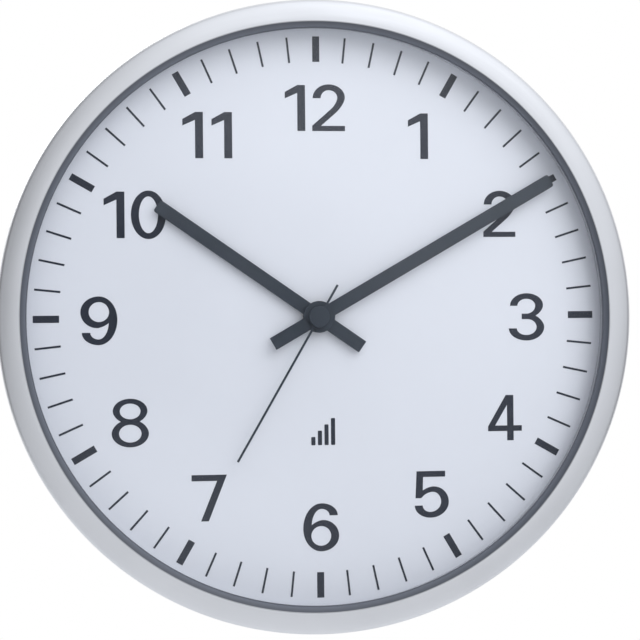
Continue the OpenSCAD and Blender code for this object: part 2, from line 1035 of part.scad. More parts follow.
module hour_wheel() {
    color("wheat")
        on_wall()
            difference() {
                union() {
                    drum(hour_tube_r, hour_wheel_z[0] - 0.2, hour_hand_z + hand_t);
                    slab(hour_wheel_z[0], hour_wheel_z[1])
                        teeth_outline(hour_teeth, hour_mod,
                            mesh_turn(small_teeth, 0, hour_teeth, motion_dir - 180), wheel_tooth);
                }
                drum(minute_tube_r + run_gap, 17, hour_hand_z + 2);
            }
}

module battery() {
    color("darkgray")
        on_wall()
            translate([battery_x[0], battery_at[0], battery_at[1]])
                rotate([0, 90, 0]) {
                    cylinder(d = battery_d, h = battery_x[1] - battery_x[0]);
                    cylinder(r = nub_r, h = battery_x[1] - battery_x[0] + nub_len);
                }
}

module positive_contact() {
    low = bay_x - contact_t;
    color("silver")
        on_wall() {
            block([low, battery_at[0] - contact_w / 2, contact_z[0]],
                [bay_x, battery_at[0] + contact_w / 2, contact_z[1]]);
            translate([battery_x[1] + nub_len, battery_at[0], battery_at[1]])
                rotate([0, 90, 0])
                    cylinder(r = 2.4, h = low - battery_x[1] - nub_len);
        }
}

// A bent leaf spring: its middle presses on the battery's flat end
module negative_contact() {
    mid_z = battery_at[1];
    color("silver")
        on_wall() {
            block([-bay_x, battery_at[0] - contact_w / 2, contact_z[0]],
                [-bay_x + contact_t, battery_at[0] + contact_w / 2, contact_z[1]]);
            translate([0, battery_at[0] + 3, 0])
                rotate([90, 0, 0])
                    linear_extrude(height = 6)
                        polygon([
                            [-bay_x + contact_t, mid_z - 5.6], [battery_x[0], mid_z - 0.8],
                            [battery_x[0], mid_z + 0.8], [-bay_x + contact_t + 0.7, mid_z + 5],
                            [-bay_x + contact_t + 0.3, mid_z + 4.6], [battery_x[0] - contact_t, mid_z + 0.5],
                            [battery_x[0] - contact_t, mid_z - 0.5], [-bay_x + contact_t, mid_z - 4.9]
                        ]);
        }
}

rim();
lens();
lens_gasket();
spacer_ring();
dial();
dial_print();
dial_plate();
back_ring();
back_plate();
pan_screws();
hanger_plate();
hanger_screws();
wall_bumpers();
bush_washer();
bush_nut();
hour_hand();
minute_hand();
second_hand();
second_collet();
second_cap();
movement_front();
movement_back();
movement_screws();
circuit_board();
controller_chip();
quartz_crystal();
key_domes();
button_receive();
button_set();
button_reset();
aerial_rod();
aerial_coil();
second_bobbin();
minute_bobbin();
second_winding();
minute_winding();
second_core();
minute_core();
second_stator();
minute_stator();
second_rotor();
minute_rotor();
second_third_wheel();
second_wheel();
minute_first_wheel();
minute_third_wheel();
centre_wheel();
motion_wheel();
hour_wheel();
battery();
positive_contact();
negative_contact();
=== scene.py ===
"""The visible pieces of a round radio-controlled wall clock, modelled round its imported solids.

Lengths are in millimetres until spot() turns them into the scene's metres. A place on the clock is given
as on the dial: x to the right, y up, and out, the height in front of the dial's printed face. The sizes
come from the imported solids, or repeat those in the solids' source.
"""

import json
from math import acos, cos, degrees, pi, radians, sin

import bpy
from bpy.props import FloatProperty, FloatVectorProperty, PointerProperty
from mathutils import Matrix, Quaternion, Vector

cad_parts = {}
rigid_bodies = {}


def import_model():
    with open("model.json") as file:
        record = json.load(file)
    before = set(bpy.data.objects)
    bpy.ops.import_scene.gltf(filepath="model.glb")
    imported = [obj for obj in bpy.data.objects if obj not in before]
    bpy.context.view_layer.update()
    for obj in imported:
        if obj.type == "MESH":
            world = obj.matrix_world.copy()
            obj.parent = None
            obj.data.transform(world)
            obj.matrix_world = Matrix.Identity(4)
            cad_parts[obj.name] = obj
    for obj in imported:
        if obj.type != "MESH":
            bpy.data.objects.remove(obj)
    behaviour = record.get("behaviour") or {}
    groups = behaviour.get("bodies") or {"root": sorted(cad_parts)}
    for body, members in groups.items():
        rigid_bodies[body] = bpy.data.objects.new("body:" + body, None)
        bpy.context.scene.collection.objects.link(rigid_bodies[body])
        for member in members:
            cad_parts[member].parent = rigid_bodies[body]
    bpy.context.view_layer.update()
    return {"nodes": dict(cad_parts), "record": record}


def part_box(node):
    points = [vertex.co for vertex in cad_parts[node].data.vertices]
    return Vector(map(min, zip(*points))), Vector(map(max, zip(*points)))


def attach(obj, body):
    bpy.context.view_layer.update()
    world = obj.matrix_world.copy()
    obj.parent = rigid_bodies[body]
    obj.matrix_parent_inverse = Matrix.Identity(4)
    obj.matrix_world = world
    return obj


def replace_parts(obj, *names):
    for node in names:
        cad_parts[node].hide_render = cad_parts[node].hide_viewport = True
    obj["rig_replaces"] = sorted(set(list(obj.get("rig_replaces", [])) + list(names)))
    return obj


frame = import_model()

bl_info = {
    "name": "Radio-Controlled Wall Clock",
    "version": (1, 0, 0),
    "blender": (4, 5, 0),
    "location": "View3D > Sidebar > Clock",
    "description": "Models a wall clock's case, dial, hands, movement and back round its solid parts",
    "category": "Add Mesh",
}

# A millimetre, and how near points are when they count as one, in metres
MM = 0.001
MERGE = 1e-6

RECORD = frame["record"]
BODY_OF = {n: body for body, nodes in RECORD["behaviour"]["bodies"].items() for n in nodes}
SLOT_OF = {row["node"]: row["material_slot"] for row in RECORD["subparts"]}

RIM_LOW, RIM_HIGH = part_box("rim")
HUB_Z = (RIM_LOW.z + RIM_HIGH.z) / 2
DIAL_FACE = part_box("dial")[0].y


def front_of(node):
    """How far a solid reaches in front of the dial's face."""
    return (DIAL_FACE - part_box(node)[0].y) / MM


def back_of(node):
    """How far in front of the dial's face a solid begins. It is negative behind the dial."""
    return (DIAL_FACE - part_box(node)[1].y) / MM


def radius_of(node):
    low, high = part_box(node)
    return (high.x - low.x) / 2 / MM


# Rim section, as in the solids' source
RIM_R = radius_of("rim")
RIM_BACK = back_of("rim")
CREST = front_of("rim")
DOME_R, DOME_IN, DOME_STEPS = 30, 8.8, 14
EDGE_R, EDGE_STEPS = 2.6, 8
MOUTH_R = RIM_R - 10.8
BEVEL_RUN, BEVEL_FOOT = 2.3, 0.6
THROAT_R = MOUTH_R - BEVEL_RUN
POCKET_R, POCKET_CORNER = RIM_R - 2.2, 1.2
BEAD_R, BEAD_SUNK, BEAD_OUT, BEAD_STEPS = 0.65, 0.1, -18.2, 8

# Ground edge of the glass, and the gasket's round lip, which stands in from the rim's throat
GROUND = 0.35
GASKET_R, GASKET_LIP, LIP_STEPS = THROAT_R - 0.5, 0.3, 6

# The bush's hole in the dial, and the foot of the printed figures, which is sunk into the dial
BUSH_HOLE_R = 4.1
PRINT_FOOT = -0.02

# The signal bars: how many, place of the first, distance, half their width, height, growth and corners
BARS, BAR_X, BAR_Y, BAR_STEP = 4, -2.9, -62, 3.2
BAR_HALF, BAR_HIGH, BAR_GROWTH, BAR_CORNER = 1, 4, 3, 0.4

# The back, as in the solids' source: ring with its screw flange and ledge, plate with its window, keyhole
RING_R, RING_IN, RING_FILLET = 136.5, 134.5, 0.6
FLANGE_LOW, FLANGE_HIGH = -17.5, -15.5
LEDGE_R, LEDGE_LOW, LEDGE_HIGH = 131.5, -21, -19.5
PLATE_R, PLATE_THICK = RING_IN - 0.1, 2
WINDOW = ((-43, -48), (43, 44), 6)
CUT_OUT = ((-9, 97.5), (9, 120.5), 3)
BOSS_R, BOSS_LEN, BOSS_SUNK, BOSS_STEPS = 3, 7, 0.1, 32
HANGER_SCREWS = [(x, y) for x in (-17, 17) for y in (100.5, 118)]
HANGER_CORNER, HANGER_HOLE_R = 3, 1.9
KEYHOLE_Y, KEYHOLE_R, SLOT_R, SLOT_TOP = 105, 4.5, 2.1, 115

# Low relief on the back plate, which only the visual has: two round beads, ribs and the window's lip
RELIEF, RELIEF_SUNK = 0.6, 0.2
ROUND_BEADS, ROUND_BEAD_HALF, ROUND_BEAD_ARC = (70, 126), 1.3, (200, 340, 6)
RIB_START, RIB_END, RIB_HALF, RIB_CORNER = 74, 122, 0.8, 0.7
RIB_ANGLES = range(15, 375, 30)
LIP_WIDTH = 2.6

# Raised marks beside the battery bay, for its two poles
POLE_MARKS = ((24.5, -20.3), (-24.5, -20.3))
MARK_HEIGHT, MARK_EASE = (-21.2, -20.8), 0.05
MINUS = ((-1.6, -0.35), (1.6, 0.35), 0.1)
PLUS = [
    (-0.35, 1.6), (0.35, 1.6), (0.35, 0.35), (1.6, 0.35), (1.6, -0.35), (0.35, -0.35),
    (0.35, -1.6), (-0.35, -1.6), (-0.35, -0.35), (-1.6, -0.35), (-1.6, 0.35), (-0.35, 0.35),
]

# How sharp edges are eased, in millimetres
RIM_EASE, RIM_EASE_LIMIT = 0.22, 24
DIAL_EASE, BACKING_EASE = 0.08, 0.25
RING_EASE, PLATE_EASE, LIP_EASE, RIB_EASE = 0.25, 0.3, 0.25, 0.2
HANGER_EASE, SHELL_EASE = 0.15, 0.35

# Solids that only get softer edges: width in millimetres, then segments and whether flat faces are made
# whole, where they differ from remade()'s own
SOFT_EDGES = {
    "spacer_ring": (0.2, 2, False), "bush_nut": (0.25, 2, False), "negative_contact": (0.1, 2, False),
    "hour_hand": (0.18, 3), "minute_hand": (0.18, 3), "battery": (0.5, 3),
    "button_receive": (0.3, 3), "button_set": (0.3, 3), "button_reset": (0.3, 3),
    "second_hand": (0.08,), "second_cap": (0.08,), "movement_screws": (0.08,),
    "second_collet": (0.1,), "bush_washer": (0.1,), "positive_contact": (0.1,),
    "pan_screws": (0.12,), "hanger_screws": (0.06,), "wall_bumpers": (0.25,), "movement_front": (0.3,),
}

# Steps round a turned piece, and along a bow of a flat one
SPIN_STEPS, BOW_STEPS, PLATE_STEPS, HANGER_STEPS = 240, 10, 48, 16

# Angles in degrees: faces that count as one, and edges that are shaded smooth in turned and in flat pieces
SAME_PLANE, SMOOTH, SMOOTH_GLASS, SMOOTH_FLAT = 0.5, 35, 20, 25

# Directions of travel along an outline in degrees, and how far along them the handles of a bow stand
RIGHT, UP, LEFT, DOWN = 0, 90, 180, 270
BOW = 0.5523


def spot(x, y, out):
    """A place in the scene, from millimetres on the dial."""
    return Vector((x * MM, DIAL_FACE - out * MM, HUB_Z + y * MM))


def arc(centre, radius, start, end, steps):
    """Points along a round stretch of a section, from one angle to another."""
    turns = [radians(start + (end - start) * i / steps) for i in range(steps + 1)]
    return [(centre[0] + radius * cos(a), centre[1] + radius * sin(a)) for a in turns]


# Modelling


def select_only(piece):
    bpy.ops.object.select_all(action="DESELECT")
    piece.select_set(True)
    bpy.context.view_layer.objects.active = piece


def edit(piece, mode="VERT"):
    """Opens a piece in edit mode with all of it selected."""
    select_only(piece)
    bpy.ops.object.mode_set(mode="EDIT")
    bpy.ops.mesh.select_mode(type=mode)
    bpy.ops.mesh.select_all(action="SELECT")


def close_edit():
    bpy.ops.object.mode_set(mode="OBJECT")


def mend(piece):
    """Merges doubles and turns the faces outwards."""
    edit(piece)
    bpy.ops.mesh.remove_doubles(threshold=MERGE)
    bpy.ops.mesh.normals_make_consistent(inside=False)
    close_edit()


def settle(piece, angle=SMOOTH):
    """Puts a piece's place into its mesh and shades it smooth where its faces nearly agree."""
    select_only(piece)
    bpy.ops.object.transform_apply(location=True, rotation=True, scale=True)
    bpy.ops.object.shade_smooth_by_angle(angle=radians(angle))


def soften(piece, width, segments=2, limit=30):
    """Rounds the sharp edges of a settled piece and keeps its flat faces shaded flat."""
    bevel = piece.modifiers.new("Soft edges", "BEVEL")
    bevel.width = width * MM
    bevel.segments = segments
    bevel.limit_method = "ANGLE"
    bevel.angle_limit = radians(limit)
    bevel.miter_outer = "MITER_ARC"
    bevel.harden_normals = True
    select_only(piece)
    bpy.ops.object.modifier_apply(modifier=bevel.name)


def turned(name, section, steps=SPIN_STEPS, ring=True, centre=(0, 0)):
    """A ring or disc made as on a lathe: its section of (radius, out) is drawn, then spun."""
    path = [spot(centre[0] + r, centre[1], out) for r, out in section]
    bpy.ops.object.select_all(action="DESELECT")
    bpy.ops.mesh.primitive_plane_add(size=MM, location=path[0])
    piece = bpy.context.object
    piece.name = name
    edit(piece)
    bpy.ops.mesh.merge(type="CENTER")
    ends = path[1:] + path[:1] if ring else path[1:]
    for here, there in zip(path, ends):
        bpy.ops.mesh.extrude_region_move(TRANSFORM_OT_translate={"value": there - here})
    bpy.ops.mesh.select_all(action="SELECT")
    bpy.ops.mesh.remove_doubles(threshold=MERGE)
    axis = spot(centre[0], centre[1], 0)
    bpy.ops.mesh.spin(steps=steps, angle=2 * pi, center=axis, axis=(0, 1, 0))
    close_edit()
    mend(piece)
    return piece


def washer(name, node, bore, ease):
    """A flat ring as wide and thick as a solid, with its edges eased."""
    r, low, high = radius_of(node), back_of(node), front_of(node)
    section = [
        (bore, low + ease), (bore, high - ease), (bore + ease, high), (r - ease, high), (r, high - ease),
        (r, low + ease), (r - ease, low), (bore + ease, low),
    ]
    piece = turned(name, section)
    settle(piece)
    return carry(piece, node)


def remade(node, width=0, segments=2, whole=True):
    """A copy of a solid with its edges softened, and its loose triangles joined into whole faces.

    A piece with holes in its flat faces keeps its triangles, because such a face can't be filled well.
    With no width the edges stay sharp.
    """
    piece = bpy.data.objects.new(node + "_finished", frame["nodes"][node].data.copy())
    bpy.context.scene.collection.objects.link(piece)
    edit(piece)
    bpy.ops.mesh.customdata_custom_splitnormals_clear()
    bpy.ops.mesh.remove_doubles(threshold=MERGE)
    if whole:
        bpy.ops.mesh.dissolve_limited(angle_limit=radians(SAME_PLANE))
    close_edit()
    settle(piece)
    if width:
        soften(piece, width, segments)
    return piece


def joined(name, pieces):
    bpy.ops.object.select_all(action="DESELECT")
    for piece in pieces:
        piece.select_set(True)
    bpy.context.view_layer.objects.active = pieces[0]
    if len(pieces) > 1:
        bpy.ops.object.join()
    pieces[0].name = name
    return pieces[0]


def crossing(p, along_p, q, along_q):
    """Where two straight lines meet, each given by a point and a direction in degrees."""
    a, b = radians(along_p), radians(along_q)
    across = cos(a) * sin(b) - sin(a) * cos(b)
    reach = ((q[0] - p[0]) * sin(b) - (q[1] - p[1]) * cos(b)) / across
    return p[0] + reach * cos(a), p[1] + reach * sin(a)


def part_way(p, q, share):
    return p[0] + (q[0] - p[0]) * share, p[1] + (q[1] - p[1]) * share


def flat_outline(name, outlines, low, high, place=(0, 0), ease=0, fine=BOW_STEPS):
    """A flat piece from closed outlines, from one height to another. An inner outline is a hole.

    An outline's point is (x, y) at the end of a straight stretch. At the end of a bow it is
    (x, y, arrive) or (x, y, arrive, leave): the direction in which the bow reaches it, and the one in
    which it left the point before, which else is the one that the last bow arrived in.
    """
    bpy.ops.object.select_all(action="DESELECT")
    bpy.ops.curve.primitive_bezier_circle_add(radius=MM)
    piece = bpy.context.object
    piece.name = name
    curve = piece.data
    curve.splines.clear()
    for outline in outlines:
        spline = curve.splines.new("BEZIER")
        spline.bezier_points.add(len(outline) - 1)
        spline.use_cyclic_u = True
        before = [p[:2] for p in outline]
        after = [p[:2] for p in outline]
        heading = outline[-1][2] if len(outline[-1]) > 2 else None
        for i, point in enumerate(outline):
            last = outline[i - 1]
            if len(point) > 2:
                leave = point[3] if len(point) > 3 else heading
                corner = crossing(last, leave, point, point[2])
                after[i - 1] = part_way(last, corner, BOW)
                before[i] = part_way(point, corner, BOW)
                heading = point[2]
        for knot, point, left, right in zip(spline.bezier_points, outline, before, after):
            knot.handle_left_type = knot.handle_right_type = "FREE"
            knot.co = (point[0] * MM, point[1] * MM, 0)
            knot.handle_left = (left[0] * MM, left[1] * MM, 0)
            knot.handle_right = (right[0] * MM, right[1] * MM, 0)
    curve.dimensions = "2D"
    curve.fill_mode = "BOTH"
    curve.resolution_u = fine
    curve.extrude = ((high - low) / 2 - ease) * MM
    curve.bevel_depth = ease * MM
    curve.bevel_resolution = 1
    curve.offset = -ease * MM
    piece.location = spot(place[0], place[1], (low + high) / 2)
    piece.rotation_euler = (radians(90), 0, 0)
    bpy.ops.object.convert(target="MESH")
    mend(piece)
    settle(piece, SMOOTH_FLAT)
    return piece


def round_outline(x, y, r):
    return [(x, y + r, RIGHT), (x + r, y, DOWN), (x, y - r, LEFT), (x - r, y, UP)]


def box_outline(low, high, r):
    """A rectangle with round corners."""
    (x0, y0), (x1, y1) = low, high
    return [
        (x0 + r, y1, RIGHT, UP), (x1 - r, y1), (x1, y1 - r, DOWN, RIGHT), (x1, y0 + r),
        (x1 - r, y0, LEFT, DOWN), (x0 + r, y0), (x0, y0 + r, UP, LEFT), (x0, y1 - r),
    ]


def printed(name, outlines, place):
    """A flat patch of ink on the dial."""
    return flat_outline(name, outlines, PRINT_FOOT, bpy.context.scene.clock_look.print_height, place)


def copied(piece, moves):
    """A piece and its copies, each moved from the first by (x, y) and turned about the hands' axis."""
    made = [piece]
    for x, y, turn in moves:
        twin = piece.copy()
        twin.data = piece.data.copy()
        bpy.context.scene.collection.objects.link(twin)
        select_only(twin)
        bpy.ops.transform.rotate(
            value=radians(turn), orient_axis="Y", orient_type="GLOBAL", center_override=spot(0, 0, 0),
        )
        bpy.ops.transform.translate(value=(x * MM, 0, y * MM))
        bpy.ops.object.transform_apply(location=True, rotation=True, scale=True)
        made.append(twin)
    return made


def round_back_edges(piece, width, deep=3, segments=3, steep=0.5):
    """Rounds the edges of a piece's rearmost face that have a wall deeper than this in millimetres."""
    edit(piece, "EDGE")
    bpy.ops.mesh.select_all(action="DESELECT")
    close_edit()
    rear = max(v.co.y for v in piece.data.vertices)
    flat = {v.index for v in piece.data.vertices if abs(v.co.y - rear) < MERGE}
    walls = {}
    for face in piece.data.polygons:
        reach = [piece.data.vertices[i].co.y for i in face.vertices]
        wall = abs(face.normal.y) < steep and max(reach) - min(reach) > deep * MM
        for key in face.edge_keys:
            walls[key] = walls.get(key, 0) + wall
    for line in piece.data.edges:
        line.select = set(line.vertices) <= flat and walls[tuple(sorted(line.vertices))] == 1
    bpy.ops.object.mode_set(mode="EDIT")
    bpy.ops.mesh.bevel(offset=width * MM, segments=segments, clamp_overlap=False, harden_normals=True)
    close_edit()


# Finishes


class Graph:
    """The nodes of a material or of the room, and short ways to add to them."""

    def __init__(self, owner):
        owner.use_nodes = True
        self.nodes = owner.node_tree.nodes
        self.links = owner.node_tree.links

    def node(self, kind, inputs=(), **settings):
        """A new node with its settings. Its inputs go by number or name, as values or other outputs."""
        made = self.nodes.new(kind)
        for name, value in settings.items():
            setattr(made, name, value)
        for key, value in dict(inputs).items():
            if isinstance(value, bpy.types.NodeSocket):
                self.links.new(value, made.inputs[key])
            else:
                made.inputs[key].default_value = value
        return made

    def sums(self, operation, *values):
        inputs = dict(enumerate(values))
        return self.node("ShaderNodeMath", inputs, operation=operation).outputs[0]

    def vector(self, operation, *values):
        return self.node("ShaderNodeVectorMath", dict(enumerate(values)), operation=operation)

    def between(self, source, low, high, start=0.3, end=0.7):
        """Low to high as the source goes from start to end, and no further."""
        inputs = {0: source, 1: start, 2: end, 3: low, 4: high}
        return self.node("ShaderNodeMapRange", inputs).outputs[0]


class Finish(Graph):
    """A material built from nodes round one Principled shader."""

    def __init__(self, name, **sockets):
        self.material = bpy.data.materials.new(name)
        super().__init__(self.material)
        self.shader = self.nodes["Principled BSDF"]
        for socket, value in sockets.items():
            self.shader.inputs[socket.replace("_", " ")].default_value = value
        self.place = self.node("ShaderNodeTexCoord").outputs["Object"]

    def moved(self, offset=(0, 0, 0), stretch=(1, 1, 1)):
        """The place on the piece, moved and stretched."""
        inputs = {"Vector": self.place, "Location": offset, "Scale": stretch}
        return self.node("ShaderNodeMapping", inputs).outputs[0]

    def grain(self, size, detail=2.0, stretch=(1, 1, 1)):
        """Soft random spots of about this size in millimetres, from 0 to 1."""
        inputs = {"Vector": self.moved(stretch=stretch), "Scale": 1 / (size * MM), "Detail": detail}
        return self.node("ShaderNodeTexNoise", inputs).outputs[0]

    def flat_place(self):
        """The place on the piece, seen from the front and measured from the hands' axis."""
        return self.vector("MULTIPLY", self.moved(offset=(0, 0, -HUB_Z)), (1, 0, 1)).outputs[0]

    def rings(self, across, along):
        """Fine streaks that run round the hands' axis, this wide and this long in millimetres."""
        flat = self.flat_place()
        reach = self.vector("LENGTH", flat).outputs["Value"]
        inputs = {0: self.vector("NORMALIZE", flat).outputs[0], "Scale": RIM_R / along}
        long = self.node("ShaderNodeVectorMath", inputs, operation="SCALE").outputs[0]
        lines = self.sums("MULTIPLY", reach, 1 / (across * MM))
        both = self.vector("ADD", long, self.node("ShaderNodeCombineXYZ", {"Y": lines}).outputs[0])
        inputs = {"Vector": both.outputs[0], "Scale": 1.0, "Detail": 2.0}
        return self.node("ShaderNodeTexNoise", inputs).outputs[0]

    def colours(self, share, first, second):
        """One colour into another as share goes from 0 to 1. Either may be another output."""
        made = self.node("ShaderNodeMix", {"Factor": share}, data_type="RGBA")
        for socket, colour in ((6, first), (7, second)):
            if isinstance(colour, bpy.types.NodeSocket):
                self.links.new(colour, made.inputs[socket])
            else:
                made.inputs[socket].default_value = (*colour, 1)
        return made.outputs[2]

    def paint(self, colour):
        self.links.new(colour, self.shader.inputs["Base Color"])

    def tint(self, share, colour, low, high):
        """One colour, from a darker to a lighter shade of it as share goes from 0 to 1."""
        self.paint(self.colours(share, shade(colour, low), shade(colour, high)))

    def rough(self, source, low, high):
        self.links.new(self.between(source, low, high), self.shader.inputs["Roughness"])

    def bump(self, source, height, strength=1.0):
        """Relief of this height in millimetres."""
        inputs = {"Strength": strength, "Distance": height * MM, "Height": source}
        normal = self.node("ShaderNodeBump", inputs).outputs[0]
        self.links.new(normal, self.shader.inputs["Normal"])


def shade(colour, factor):
    return tuple(c * factor for c in colour)


def moulded(name, colour, grain, height, roughness):
    """Moulded plastic or rubber: fine spark-eroded grain and slight clouding."""
    finish = Finish(name)
    cloud = finish.between(finish.grain(45), 0, 1)
    skin = finish.grain(grain, 3)
    clouded = finish.colours(cloud, shade(colour, 0.965), shade(colour, 1.02))
    finish.paint(finish.colours(finish.between(skin, 0, 0.25), clouded, shade(colour, 0.7)))
    finish.rough(skin, *roughness)
    finish.bump(skin, height, 0.6)
    return finish.material


def plated(name, colour, roughness, streak):
    """Plated or stamped metal: drawn streaks and cloudy plating."""
    finish = Finish(name, Metallic=1.0)
    cloud = finish.between(finish.grain(5, 4), 0, 1)
    lines = finish.grain(1.2, 4, stretch=streak)
    finish.tint(cloud, colour, 0.82, 1.05)
    finish.rough(cloud, *roughness)
    finish.bump(lines, 0.006, 0.5)
    return finish.material


def rim_aluminium(s):
    """Satin metal with faint turning marks, and dark paint on the bevel that leads in to the glass; the
    paint also stands in for the shade inside the rim's lip.
    """
    finish = Finish("rim_aluminium")
    reach = finish.vector("LENGTH", finish.flat_place()).outputs["Value"]
    bare = finish.between(reach, 0, 1, (MOUTH_R - 0.3) * MM, (MOUTH_R + 0.4) * MM)
    cloud = finish.between(finish.grain(35), 0, 1)
    metal = finish.colours(cloud, shade(s.rim_colour, 0.97), s.rim_colour)
    # Painted shade: the bevel's colour is partly its own dark paint and partly the shade inside the rim's
    # lip. It runs from lighter by the throat to darkest by the mouth, and its soft border with the bare
    # metal stands in for the shading of a rounded edge
    sheen = finish.between(reach, 0, 1, THROAT_R * MM, (MOUTH_R - 0.5) * MM)
    paint = finish.colours(sheen, shade(s.bevel_paint_and_shade, 1.5), shade(s.bevel_paint_and_shade, 0.85))
    finish.paint(finish.colours(bare, paint, metal))
    finish.links.new(bare, finish.shader.inputs["Metallic"])
    finish.rough(finish.rings(across=0.22, along=45), 0.36, 0.46)
    finish.bump(finish.grain(0.3), 0.004, 0.5)
    return finish.material


def clear_glass(s):
    """Flat glass that lets the lamps through, so that dial and hands are lit and cast their shadows."""
    finish = Finish("clear_glass", Roughness=0.0, IOR=s.glass_ior, Transmission_Weight=1.0)
    finish.shader.inputs["Base Color"].default_value = (*s.glass_colour, 1)
    pane = finish.node("ShaderNodeBsdfTransparent", {"Color": (*s.glass_colour, 1)}).outputs[0]
    rays = finish.node("ShaderNodeLightPath").outputs
    plain = finish.sums("MAXIMUM", rays["Is Shadow Ray"], rays["Is Diffuse Ray"])
    mix = finish.node("ShaderNodeMixShader", {0: plain, 1: finish.shader.outputs[0], 2: pane})
    finish.links.new(mix.outputs[0], finish.nodes["Material Output"].inputs["Surface"])
    return finish.material


def dial_face(s):
    """Printed dial: a fine tooth in the lacquer, and clouding too faint to see from afar."""
    finish = Finish("dial_face")
    cloud = finish.between(finish.grain(60), 0, 1)
    tooth = finish.grain(0.5, 3)
    finish.tint(cloud, s.dial_colour, 0.985, 1)
    finish.rough(tooth, 0.55, 0.68)
    finish.bump(tooth, 0.004, 0.5)
    return finish.material


def dial_ink(s):
    """Screen-printed ink: slightly uneven cover and a soft sheen."""
    finish = Finish("dial_ink", Specular_IOR_Level=0.25)
    cover = finish.between(finish.grain(0.8, 4), 0, 1)
    finish.tint(cover, s.ink_colour, 0.85, 1.12)
    finish.rough(cover, 0.5, 0.62)
    finish.bump(cover, 0.004, 0.4)
    return finish.material


def hand_paint(s):
    """Matte lacquer with a faint orange peel."""
    finish = Finish("hand_paint", Specular_IOR_Level=0.35)
    peel = finish.grain(0.6, 3)
    finish.tint(finish.grain(9), s.hand_colour, 0.9, 1.1)
    finish.rough(peel, 0.46, 0.58)
    finish.bump(peel, 0.005, 0.5)
    return finish.material


def board_green(_):
    """Circuit board: copper tracks that show through the green solder mask."""
    finish = Finish("board_green", Coat_Weight=0.4)
    cells = finish.node(
        "ShaderNodeTexVoronoi", {"Vector": finish.place, "Scale": 1 / (3.2 * MM)},
        distance="MANHATTAN", feature="DISTANCE_TO_EDGE",
    ).outputs[0]
    track = finish.between(cells, 1, 0, 0.06, 0.1)
    finish.paint(finish.colours(track, (0.012, 0.13, 0.045), (0.04, 0.26, 0.1)))
    finish.rough(finish.grain(1.5), 0.25, 0.4)
    finish.bump(track, 0.035, 0.8)
    return finish.material


def ferrite(_):
    """Sintered ferrite: dark, with a coarse metallic speckle."""
    finish = Finish("ferrite", Metallic=0.35)
    speck = finish.grain(0.25, 5)
    bright = finish.between(speck, 0, 1, 0.4, 0.75)
    finish.paint(finish.colours(bright, (0.035, 0.035, 0.04), (0.14, 0.14, 0.15)))
    finish.rough(speck, 0.5, 0.75)
    finish.bump(speck, 0.03, 0.7)
    return finish.material


def copper_wire(_):
    """Enamelled wire, turn beside turn, with painted shade between the turns and a painted highlight on
    their crests. The aerial's turns run round X and the motors' round Z.
    """
    finish = Finish("copper_wire", Metallic=0.7, Coat_Weight=0.5)
    wire = 0.3 * MM
    diagonal = finish.vector("DOT_PRODUCT", finish.place, (1, 0, 1)).outputs["Value"]
    turn = finish.sums("SINE", finish.sums("MULTIPLY", diagonal, 2 * pi / wire))
    # Painted shade and highlight: dark copper in the grooves between turns, bright copper on their crests
    painted_highlight_share = finish.between(turn, 0, 1, -1, 1)
    finish.paint(finish.colours(painted_highlight_share, (0.2, 0.055, 0.02), (0.7, 0.27, 0.1)))
    finish.rough(finish.grain(0.4), 0.25, 0.4)
    finish.bump(turn, 0.05, 1.0)
    return finish.material


def battery_sleeve(_):
    """Printed film sleeve: a blue body, a pale band and a copper cap. Both ends of the cell are bare."""
    finish = Finish("battery_sleeve", Coat_Weight=0.3)
    foot_end, band_start, cap_start, nose_start = 0.016, 0.66, 0.7, 0.965
    low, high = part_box("battery")
    along = finish.node("ShaderNodeSeparateXYZ", {0: finish.place}).outputs["X"]
    share = finish.between(along, 0, 1, low.x, high.x)
    past_body = finish.sums("GREATER_THAN", share, band_start)
    band = finish.sums("MULTIPLY", past_body, finish.sums("LESS_THAN", share, cap_start))
    cap = finish.sums("GREATER_THAN", share, cap_start)
    foot = finish.sums("LESS_THAN", share, foot_end)
    ends = finish.sums("ADD", foot, finish.sums("GREATER_THAN", share, nose_start))
    body = finish.colours(finish.grain(8), (0.03, 0.085, 0.19), (0.04, 0.1, 0.22))
    banded = finish.colours(band, body, (0.75, 0.76, 0.78))
    sleeve = finish.colours(cap, banded, (0.42, 0.2, 0.07))
    finish.paint(finish.colours(ends, sleeve, (0.55, 0.55, 0.56)))
    finish.links.new(finish.sums("MAXIMUM", ends, cap), finish.shader.inputs["Metallic"])
    finish.rough(finish.grain(1.2), 0.22, 0.34)
    finish.bump(finish.grain(3), 0.02, 0.3)
    return finish.material


def ring_plastic(s):
    return moulded("ring_plastic", s.ring_colour, 0.5, 0.01, (0.5, 0.62))


def pan_plastic(s):
    return moulded("pan_plastic", s.back_colour, 0.45, 0.025, (0.5, 0.68))


# Finishes of their own, made from the look that the user sets
FINISHES = {
    make.__name__: make
    for make in (
        rim_aluminium, clear_glass, dial_face, dial_ink, hand_paint, board_green, ferrite, copper_wire,
        battery_sleeve, ring_plastic, pan_plastic,
    )
}

